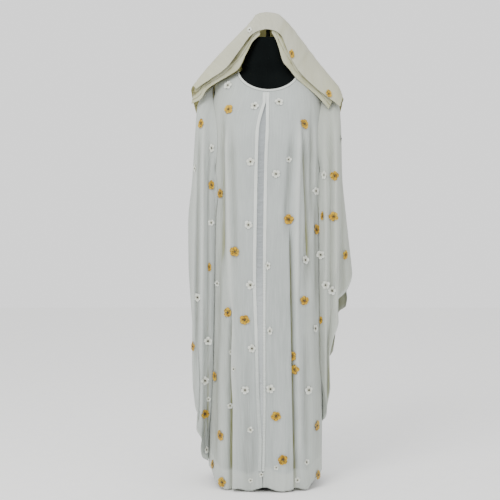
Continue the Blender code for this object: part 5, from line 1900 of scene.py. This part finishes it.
@dataclass
class HeadVeil:
    """The head veil with its turned-in front edge and the layers tucked under it."""

    size: tuple[int, int] = (170, 130)
    turn_in: float = 0.055
    turn_in_rows: int = 12
    roll: float = 0.0030
    roll_width: float = 0.016
    ripple_top: float = 0.0005
    ripple_gain: float = 0.0019
    full_ripple: float = 0.0026
    waves: tuple[float, ...] = (0.05, 0.032, 0.021)
    seed: int = 47
    under_size: tuple[int, int] = (130, 16)
    tuck: float = 0.128
    tuck_depth: float = 0.0046
    layer_start: float = 0.28
    layer_step: float = 0.0018

    def veil(self) -> ClothGrid:
        """The veil's own cloth.

        Returns:
            The grid, with v from the turned-in strip over the front edge to the back hem.
        """
        inner = self.turn_in * (1 - np.linspace(0, 1, self.turn_in_rows, endpoint=False)) ** 1.6
        outer = np.linspace(0, 1, self.size[1]) ** 1.15
        rows = np.concatenate([inner, outer])
        turned = np.sqrt(1 - (1 - np.clip(inner / self.roll_width, 0, 1)) ** 2)
        inset = np.concatenate([turned, 0 * outer]) * self.roll
        u, v = np.meshgrid(np.linspace(0, 1, self.size[0]), rows, indexing="ij")
        flat = veil_points(u, v)
        step = 1e-4
        by_u = veil_points(np.clip(u + step, 0, 1), v) - veil_points(np.clip(u - step, 0, 1), v)
        by_v = veil_points(u, np.clip(v + step, 0, 1)) - veil_points(u, np.clip(v - step, 0, 1))
        out = unit(np.cross(by_u, by_v))
        out *= np.sign((out * np.array([0.0, 0.0, 1.0])).sum(axis=-1).mean())
        rng = np.random.default_rng(self.seed)
        ripple = np.zeros_like(u)
        for wave in self.waves:
            drift = 0.25 * np.sin(v * rng.uniform(3, 7) + rng.uniform(0, 6))
            ripple += np.sin(2 * math.pi * (u + drift * 0.2) / wave + rng.uniform(0, 6)) * wave / 0.05
        ripple *= smoothstep((v - 0.35) / 0.6) * self.ripple_gain + self.ripple_top
        ripple *= 0.3 + 0.7 * np.sin(u * 9 + 1.6 * v + 1.1) ** 2
        points = flat + out * (ripple - inset[None, :])[..., None]
        # Painted shade along a soft crease down the crown, on the wearer's left.
        crown = np.exp(-(((u - 0.61) / 0.03) ** 2)) * (1 - smoothstep((v - 0.25) / 0.2))
        shade = ripple / self.full_ripple * (0.2 + 0.8 * smoothstep((v - 0.35) / 0.3)) - 0.3 * crown
        shade = np.clip(shade + 0.12 * np.sin(u * 19 + 3 * v) * np.sin(v * 9 + u * 5), -1, 1)
        warm = 0.1 + 0.55 * np.abs(2 * u - 1) ** 2
        marks = {"fold": shade, "hem": smoothstep((v - 0.975) / 0.004), "warm": warm}
        return ClothGrid("veil_cloth", points, out, marks=marks)

    def under(self, tucked: TuckedEdge, depth: int) -> ClothGrid:
        """One of the layers tucked under the veil's front edge.

        Args:
            tucked: The edge's layers.
            depth: Which layer it is, 0 for the lowest.

        Returns:
            The grid.
        """
        u, v = shares(*self.under_size)
        steps = np.linspace(0, 1, len(tucked.rows))
        edge = [through(steps, [row.edge[axis] for row in tucked.rows], u) for axis in range(3)]
        edge = np.stack(edge, axis=-1)
        across = through(steps, [row.across for row in tucked.rows], u)
        down = np.full(across.shape, self.tuck)
        step = 1e-3
        by_u = veil_points(np.clip(across + step, 0, 1), down)
        by_u -= veil_points(np.clip(across - step, 0, 1), down)
        by_v = veil_points(across, down + step) - veil_points(across, down - step)
        inward = unit(np.cross(by_u, by_v))
        inward *= -np.sign(inward[..., 2:])
        held = veil_points(across, down) + inward * self.tuck_depth
        start = self.layer_start * depth + 0.05 * np.sin(u * 17 + depth) * min(depth, 1)
        share = (start + (1 - start) * v)[..., None]
        points = edge + (held - edge) * share
        bow = np.sin(math.pi * v) * 0.0016 + 0.0007 * np.sin(u * 41 + 2 * depth) * (1 - v)
        points[..., 1] -= self.layer_step * depth + bow * 0.6
        # Painted shade: a dark line where the next layer's edge lies on this one, and deeper shade towards
        # where the layer is held under the veil.
        under = self.layer_start * (depth + 1) + 0.05 * np.sin(u * 17 + depth + 1)
        line = 1.4 * np.exp(-(((share[..., 0] - under) / 0.035) ** 2))
        low = smoothstep((u - 0.3) / 0.2)
        line += smoothstep((share[..., 0] - 0.30 - tucked.fade * low) / 0.12) * (1 - 0.35 * low)
        shade = 0.15 * depth - 0.1 + 0.25 * np.sin(u * 23 + depth) - line
        marks = {"fold": np.clip(shade, -1, 1), "hem": 0 * u, "warm": 0.6 + 0 * u}
        name = f"{tucked.node()}_layer_{depth + 1}"
        return ClothGrid(name, points, np.array([0.0, -1.0, 0.0]), marks=marks)


@dataclass
class FlowerField:
    """Flowers grown flat in a row, one to each place, then laid on the cloth they are sewn to."""

    grids: list[ClothGrid]
    eye: Array
    spacing: float = 0.1
    lift: float = 0.0007
    reach: float = 0.009
    dip: float = 0.0045
    above: float = 0.012
    side_steps: int = 14
    side_step: float = 0.01
    before: float = 0.02
    farthest: float = 0.05
    thread_out: float = 0.0118
    places: list[tuple[Flower, Array, Array]] = field(default_factory=list)

    def __post_init__(self) -> None:
        """Joins all the cloth in one tree for finding places on it."""
        points, faces, count = [], [], 0
        for grid in self.grids:
            points.append(grid.points.reshape(-1, 3))
            faces.append(grid.corners() + count)
            count += points[-1].shape[0]
        self.cloth = BVHTree.FromPolygons(np.concatenate(points).tolist(), np.concatenate(faces).tolist())

    def front(self, flowers: tuple[Flower, ...]) -> None:
        """Keeps flowers that are placed in the front picture, on the cloth that the eye meets there.

        Args:
            flowers: The flowers.
        """
        ahead = PHOTO_LENS / PHOTO_SENSOR
        for flower in flowers:
            for step in range(self.side_steps):
                across = flower.across + (PHOTO_MIDDLE - flower.across) * self.side_step * step
                aim = unit(np.array([across / PHOTO_SIZE - 0.5, ahead, 0.5 - flower.along / PHOTO_SIZE]))
                if self.keep(flower, self.eye, aim):
                    break

    def back(self, flowers: tuple[Flower, ...]) -> None:
        """Keeps flowers that are placed in metres on the back.

        Args:
            flowers: The flowers.
        """
        for flower in flowers:
            self.keep(flower, np.array([flower.across, 2.0, flower.along]), np.array([0.0, -1.0, 0.0]))

    def keep(self, flower: Flower, start: Array, aim: Array) -> bool:
        """Finds the cloth along a line and keeps the flower there, with the way the cloth faces.

        Args:
            flower: The flower.
            start: Where the line starts.
            aim: Its direction.

        Returns:
            Whether there is cloth on it.
        """
        spot = self.cloth.ray_cast(start, aim)[0]
        if spot is None:
            return False
        right = unit(np.cross(aim, np.array([0.0, 0.0, 1.0])))
        up = np.cross(right, aim)
        facing = np.zeros(3)
        for across in (-1, 0, 1):
            for along in (-1, 0, 1):
                near = np.array(spot) - aim * self.before + (right * across + up * along) * self.reach
                _, normal, _, distance = self.cloth.ray_cast(near, aim)
                if normal is not None and distance < self.farthest:
                    facing -= np.array(normal) * np.sign(np.array(normal) @ aim)
        self.places.append((flower, np.array(spot), unit(facing)))
        return True

    def carrier(self, kinds: tuple[Bloom, ...]) -> Mesh:
        """Points in a row for the flowers of some kinds.

        Args:
            kinds: The kinds.

        Returns:
            The points, with the turn and size of each flower.
        """
        chosen = [(index, place[0]) for index, place in enumerate(self.places) if place[0].bloom in kinds]
        mesh = bpy.data.meshes.new("flower_points")
        mesh.from_pydata([(index * self.spacing, 0.0, 0.0) for index, _ in chosen], [], [])
        turns = [math.radians(flower.turn) for _, flower in chosen]
        sizes = [flower.size for _, flower in chosen]
        for name, values in (("turn", turns), ("size", sizes)):
            mark = mesh.attributes.new(name, "FLOAT", "POINT")
            mark.data.foreach_set("value", np.array(values, np.float32))
        return mesh

    def lay(self, mesh: Mesh) -> None:
        """Moves grown flowers from their row onto the cloth, bending with it.

        Args:
            mesh: The grown flowers.
        """
        points = np.empty(len(mesh.vertices) * 3, np.float32)
        mesh.vertices.foreach_get("co", points)
        points = points.reshape(-1, 3).astype(float)
        owner = np.round(points[:, 0] / self.spacing).astype(int)
        for index in np.unique(owner):
            mine = owner == index
            local = points[mine] - np.array([index * self.spacing, 0.0, 0.0])
            points[mine] = self.laid(local, *self.places[index])
        mesh.vertices.foreach_set("co", points.astype(np.float32).ravel())
        mesh.update()

    def laid(self, local: Array, flower: Flower, spot: Array, normal: Array) -> Array:
        """Places on the cloth for one flower's points; it bridges deep folds.

        Args:
            local: The points about the flower's middle, flat.
            flower: The flower.
            spot: Where its middle lies.
            normal: The way the cloth faces there.

        Returns:
            The points on the cloth.
        """
        right = unit(np.cross(np.array([0.0, 0.0, 1.0]), normal))
        up = np.cross(normal, right)
        flat = spot + local[:, :1] * flower.narrow * right + local[:, 1:2] * up
        ground = np.zeros(len(flat))
        for index, point in enumerate(flat):
            distance = self.cloth.ray_cast(point + normal * self.above, -normal, 3 * self.above)[3]
            if distance is not None:
                ground[index] = np.clip(self.above - distance, -self.dip, self.dip)
        return flat + normal * (ground + local[:, 2] + self.lift)[:, None]

    def grow(self) -> list[Piece]:
        """Grows and lays petals, beads and the threads between the petals.

        Returns:
            The pieces.
        """
        tree = ring_tree()
        white = PetalShape(0.0150, 0.0066, 0.0020, 0.0006, 0.50).unit("white_petal_unit")
        yellow = PetalShape(0.0172, 0.0080, 0.0030, 0.0018, 0.46).unit("yellow_petal_unit")
        bead = bead_unit()
        stitch = stitch_unit(0.0066, 0.00055)
        kinds_grown = (
            ("white_flowers", (Bloom.WHITE, Bloom.BUD), white, 5, 0.07, WHITE_PETALS, 0.0012, 3),
            ("yellow_flowers", (Bloom.YELLOW,), yellow, 5, 0.10, YELLOW_PETALS, 0.0022, 5),
            ("flower_beads", tuple(Bloom), bead, 1, 0.0, BEAD, 0.0, 7),
        )
        made = []
        for name, kinds, shape, count, spread, finish, flutter, seed in kinds_grown:
            mesh = grown(
                name, self.carrier(kinds), tree, Unit=shape, Count=count, First_turn=0.0, Turn_spread=spread,
                Size_spread=0.09, Flutter=flutter, Seed=seed, Finish=finish.make(),
            )
            self.lay(mesh)
            made.append(link_object(name, mesh))
        made.append(self.threads(tree, stitch))
        for shape in (white, yellow, bead, stitch):
            bpy.data.objects.remove(shape)
        return made

    def threads(self, tree: Tree, stitch: Piece) -> Piece:
        """Short thread stitches on the cloth between the petals.

        Args:
            tree: The tree that turns units about points.
            stitch: The stitch, along X about its middle.

        Returns:
            The piece.
        """
        for vert in stitch.data.vertices:
            vert.co.x += self.thread_out
        mesh = grown(
            "flower_threads", self.carrier((Bloom.WHITE, Bloom.YELLOW)), tree, Unit=stitch, Count=5,
            First_turn=math.pi / 5, Turn_spread=0.05, Size_spread=0.08, Flutter=0.0, Seed=9,
            Finish=GREEN_THREAD.make(),
        )
        self.lay(mesh)
        return link_object("flower_threads", mesh)


@dataclass
class HemStitches:
    """Running stitches along the hems of body, sleeves and veil, and how far in from the edge they lie."""

    body_in: float = 0.012
    cuff_in: float = 0.010
    veil_in: float = 0.009
    spacing: float = 0.0044
    size_spread: float = 0.12
    seed: int = 13

    def build(self, grids: dict[str, ClothGrid]) -> Piece:
        """Sews the stitches.

        Args:
            grids: The cloth, by the name of its node.

        Returns:
            The piece.
        """
        stitch = stitch_unit()
        lines = []
        for name in ("front_right", "front_left", "back"):
            lines.append((line_at(grids[name], self.body_in), False))
        for name in ("sleeve_right", "sleeve_left"):
            lines.append((line_at(grids[name], self.cuff_in, from_end=True), True))
        lines.append((line_at(grids["veil"], self.veil_in, from_end=True), False))
        seams = grown(
            "hem_stitches", lines_mesh("hem_lines", lines), line_tree(), Unit=stitch, Spacing=self.spacing,
            Size_spread=self.size_spread, Seed=self.seed, Finish=PALE_THREAD.make(),
        )
        bpy.data.objects.remove(stitch)
        return link_object("hem_stitches", seams)


@dataclass
class DressForm:
    """The limbless form that the cloth rests on: torso, neck cap with knob, pole and round base."""

    clearance: float = 0.0027
    shoulders: tuple[float, float] = (1.350, 1.478)
    chest_spare: float = 0.010
    chest_run: float = 0.05
    neck_spare: float = 0.0015
    neck_spare_height: float = 1.440
    neck_spare_run: float = 0.02
    knob_top: float = 1.6765
    knob_radius: float = 0.017
    stem_radius: float = 0.008
    pole_radius: float = 0.015
    flange_radius: float = 0.024
    base_radius: float = 0.125
    base_height: float = 0.014
    socket_rise: float = 0.022
    count: int = 96
    turned_count: int = 72
    levels: tuple[int, int, int] = (26, 34, 30)

    def ring(self, sizes: tuple[float, float, float, float], z: float) -> Array:
        """One level of the torso.

        Args:
            sizes: Half widths at the wearer's right and left, depths in front and behind.
            z: The height.

        Returns:
            The ring's points.
        """
        right, left, front, back = sizes
        angle = 2 * math.pi * np.arange(self.count) / self.count
        share = np.sin(angle)
        bow = np.sqrt(1 - np.abs(share) ** SQUARENESS)
        x = np.where(share > 0, left, right) * share
        y = np.where(np.cos(angle) > 0, -front, back) * bow
        return np.stack([x, y, np.full(self.count, z)], axis=-1)

    def torso(self) -> Piece:
        """The torso, from hip to neck, with rounded ends.

        Returns:
            The piece.
        """
        rows = []
        for z in np.linspace(FORM_LOWER[0].height, FORM_LOWER[-1].height, self.levels[0]):
            half, front, back = (float(column(FORM_LOWER, name, z)) for name in ("half", "front", "back"))
            rows.append(((half, half, front, back), z))
        for z in np.linspace(*self.shoulders, self.levels[1]):
            sizes = [float(column(BODY, name, z)) for name in ("right", "left", "front", "back")]
            slope = np.clip((z - self.shoulders[0]) / self.chest_run, 0, 1)
            neck = np.clip((z - self.neck_spare_height) / self.neck_spare_run, 0, 1)
            spare = self.chest_spare * (1 - slope) + self.neck_spare * neck
            rows.append((tuple(size - self.clearance - spare for size in sizes), z - self.clearance))
        for z in np.linspace(FORM_NECK[0].height, FORM_NECK[-1].height, self.levels[2]):
            half, front, back = (float(column(FORM_NECK, name, z)) for name in ("half", "front", "back"))
            rows.append(((half, half, front, back), z))
        rings = [self.ring(sizes, z) for sizes, z in rows]
        low = [rings[0] * np.array([size, size, 1.0]) for size in (0.05, 0.6, 0.97)]
        high = [rings[-1] * np.array([size, size, 1.0]) for size in (0.985, 0.93, 0.5, 0.05)]
        points = np.stack(low + rings + high, axis=1)
        return solid_rings("dress_form_torso_cover", points, JERSEY.make())

    def turned(self, name: str, profile: list[tuple[float, float]], finish: Material) -> Piece:
        """A turned piece from (radius, height) points.

        Args:
            name: Its name.
            profile: The points, bottom to top.
            finish: Its material.

        Returns:
            The piece.
        """
        angle = 2 * math.pi * np.arange(self.turned_count) / self.turned_count
        radii, heights = np.array(profile).T
        points = np.stack([
            np.cos(angle)[:, None] * radii, np.sin(angle)[:, None] * radii, heights + 0 * angle[:, None]
        ], axis=-1)
        return solid_rings(name, points, finish)

    def stand(self) -> list[Piece]:
        """The knob on the neck cap, the pole and the base.

        Returns:
            The pieces.
        """
        paint = FORM_PAINT.make()
        neck = FORM_NECK[-1].height
        ball = [
            (self.knob_radius * math.sin(turn), self.knob_top - 0.009 - 0.009 * math.cos(turn))
            for turn in np.linspace(0.5, math.pi, 16)
        ]
        knob = [(0.0, neck + SEAM_GAP), (0.0125, neck + SEAM_GAP), (0.014, neck + 0.002)]
        knob += [(self.stem_radius, neck + 0.006), (self.stem_radius * 0.9, neck + 0.03)]
        knob += [(self.stem_radius, self.knob_top - 0.0185)] + ball
        low = FORM_LOWER[0].height - SEAM_GAP
        socket = self.base_height + self.socket_rise
        pole = [(0.0, socket + SEAM_GAP), (self.pole_radius, socket + SEAM_GAP)]
        pole += [(self.pole_radius, low - 0.014), (self.pole_radius + 0.002, low - 0.012)]
        pole += [(self.flange_radius, low - 0.010), (self.flange_radius, low - 0.001)]
        pole += [(self.flange_radius - 0.001, low), (0.0, low)]
        edge = self.base_radius
        base = [(0.0, 0.0), (edge - 0.001, 0.0), (edge, 0.001), (edge, 0.007), (edge - 0.001, 0.0085)]
        base += [(edge - 0.004, 0.0100), (edge * 0.75, self.base_height)]
        base += [(edge * 0.4, self.base_height + 0.0015), (0.028, self.base_height + 0.004)]
        base += [(0.026, self.base_height + 0.007)]
        base += [(self.flange_radius, socket - 0.001), (self.flange_radius - 0.001, socket), (0.0, socket)]
        return [
            self.turned("dress_form_knob", knob, paint),
            self.turned("dress_form_pole_metal", pole, POLE_METAL.make()),
            self.turned("dress_form_base_plate", base, paint),
        ]


def solid_rings(name: str, points: Array, finish: Material) -> Piece:
    """A closed smooth solid through rings that close round u, with its ends filled.

    Args:
        name: The piece's name.
        points: The rings, (around, along, 3).
        finish: The material.

    Returns:
        The piece.
    """
    around = points.shape[0]
    made = bmesh.new()
    verts = [[made.verts.new(point) for point in ring] for ring in points.transpose(1, 0, 2)]
    for low, high in zip(verts, verts[1:]):
        for step in range(around):
            after = (step + 1) % around
            made.faces.new((low[step], low[after], high[after], high[step]))
    made.faces.new(verts[0][::-1])
    made.faces.new(verts[-1])
    bmesh.ops.remove_doubles(made, verts=made.verts, dist=1e-6)
    bmesh.ops.recalc_face_normals(made, faces=made.faces)
    for face in made.faces:
        face.smooth = True
    mesh = bpy.data.meshes.new(name)
    made.to_mesh(mesh)
    made.free()
    mesh.set_sharp_from_angle(angle=SHARP_ANGLE)
    mesh.materials.append(finish)
    return link_object(name, mesh)


@dataclass
class Studio:
    """The pale floor, the soft lights and the camera at the photograph's viewing angle."""

    eye: tuple[float, float, float] = (-0.065, -3.0, 0.83)
    lens: float = PHOTO_LENS
    sensor: float = PHOTO_SENSOR
    sky: float = 1.4

    def light(self, name: str, place: tuple, aim: tuple, size: float, power: float, tone: Colour) -> None:
        """A soft square light.

        Args:
            name: Its name.
            place: Where it stands.
            aim: Where it points.
            size: Its width.
            power: Its power in watts.
            tone: Its colour.
        """
        lamp = bpy.data.lights.new(name, "AREA")
        lamp.shape = "SQUARE"
        lamp.size = size
        lamp.energy = power
        lamp.color = tone
        made = bpy.data.objects.new(name, lamp)
        made.location = place
        made.rotation_euler = (Vector(aim) - Vector(place)).to_track_quat("-Z", "Y").to_euler()
        bpy.context.scene.collection.objects.link(made)

    def build(self) -> None:
        """Makes the floor, the world, the lights and the camera."""
        mesh = bpy.data.meshes.new("studio_floor")
        mesh.from_pydata([(-9, -6, 0), (9, -6, 0), (9, 9, 0), (-9, 9, 0)], [], [(0, 1, 2, 3)])
        mesh.materials.append(FLOOR_PAPER.make())
        link_object("studio_floor", mesh)
        world = bpy.data.worlds.new("studio_world")
        world.use_nodes = True
        background = world.node_tree.nodes["Background"].inputs
        background["Color"].default_value = (1.0, 1.0, 1.0, 1.0)
        background["Strength"].default_value = self.sky
        bpy.context.scene.world = world
        self.light("key_light", (-1.3, -2.1, 3.1), (0.0, 0.0, 1.25), 1.3, 80.0, (1.0, 0.99, 0.97))
        self.light("fill_light", (2.2, -2.0, 1.6), (0.0, 0.0, 0.8), 2.0, 8.0, (0.97, 0.98, 1.0))
        lens = bpy.data.cameras.new("photo_camera")
        lens.lens = self.lens
        lens.sensor_width = self.sensor
        camera = bpy.data.objects.new("photo_camera", lens)
        camera.location = self.eye
        camera.rotation_euler = (math.pi / 2, 0.0, 0.0)
        bpy.context.scene.collection.objects.link(camera)
        bpy.context.scene.camera = camera


TORSO = ("dress_form_torso_cover",)
CUTS = {
    "front_right": Handover("chiffon", ("front_right",), (0.30, 1.46), 0.35, "hung", TORSO),
    "front_left": Handover("chiffon", ("front_left",), (0.34, 1.46), 0.41, "hung", TORSO),
    "back": Handover("chiffon", ("back",), (0.66, 1.48), 0.83, "hung", TORSO),
    "centre_inset": Handover("inset_cloth", ("centre_inset",), (0.034, 1.36), 0.036, "hung"),
    "band_right": Handover("edging", ("band_right",), (0.012, 1.32), None, "hung"),
    "band_left": Handover("edging", ("band_left",), (0.012, 1.32), None, "hung"),
    "sleeve_right": Handover("chiffon", ("sleeve_right",), (0.54, 1.35), 0.50, "hung"),
    "sleeve_left": Handover("chiffon", ("sleeve_left",), (0.55, 1.21), 0.43, "hung"),
    "veil": Handover("veil_chiffon", ("veil",), (1.10, 0.55), 0.35, "draped", ("dress_form_knob",)),
}


def main() -> None:
    """Builds the kaftan, its veil and the dress form, dresses them and hands them over."""
    logging.basicConfig(level=logging.INFO, format="%(name)s %(message)s")
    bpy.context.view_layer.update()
    chiffon, chiffon_shaded_inside = CHIFFON.make(), CHIFFON_SHADED_INSIDE.make()
    edging, inset = EDGING.make(), INSET.make()
    # The second veil finish is painted shade for the inner faces and rims.
    veil_out, veil_in = VEIL_CLOTH.make(), VEIL_SHADED_INSIDE.make()
    body = KaftanBody()
    body.build()
    grids = dict(body.grids)
    grids["sleeve_right"] = Sleeve(Side.RIGHT, RIGHT_SLEEVE, RIGHT_SLEEVE_FOLDS, RIGHT_CUFF, 61, 0.15).build()
    grids["sleeve_left"] = Sleeve(Side.LEFT, LEFT_SLEEVE, LEFT_SLEEVE_FOLDS, LEFT_CUFF, 67, 0.45).build()
    head = HeadVeil()
    grids["veil"] = head.veil()
    finishes = {
        "centre_inset": (inset, inset), "band_right": (edging, edging), "band_left": (edging, edging),
        "veil": (veil_out, veil_in),
    }
    pieces = {}
    for name, grid in grids.items():
        pieces[name] = grid.build(*finishes.get(name, (chiffon, chiffon_shaded_inside)))
        LOG.info("%s area %.4f", name, grid.area())
    Handover("edging", ("neck_binding",)).give(NeckBinding().build(edging))
    layers = []
    for tucked in TUCKED_EDGES:
        for depth in range(tucked.count):
            grid = head.under(tucked, depth)
            LOG.info("%s area %.4f", grid.name, grid.area())
            layers.append((grid.build(veil_out, veil_in), tucked.handover(depth)))
    flowers = FlowerField(list(grids.values()), np.array(Studio.eye))
    for places in (CHEST_FLOWERS, SKIRT_FLOWERS, RIGHT_SLEEVE_FLOWERS, LEFT_SLEEVE_FLOWERS, VEIL_FLOWERS):
        flowers.front(places)
    for places in (BACK_FLOWERS, RIGHT_SLEEVE_BACK_FLOWERS, LEFT_SLEEVE_BACK_FLOWERS, VEIL_BACK_FLOWERS):
        flowers.back(places)
    for piece in flowers.grow():
        Handover("chiffon").give(piece)
    form = DressForm()
    Handover("form_cover", ("dress_form_torso",)).give(form.torso())
    for piece, node in zip(form.stand(), ("dress_form_finial", "dress_form_pole", "dress_form_base")):
        Handover("form_paint", (node,)).give(piece)
    Handover("edging").give(HemStitches().build(grids))
    for name, piece in pieces.items():
        CUTS[name].give(piece)
    for piece, handover in layers:
        handover.give(piece)
    Studio().build()


if __name__ == "__main__":
    main()
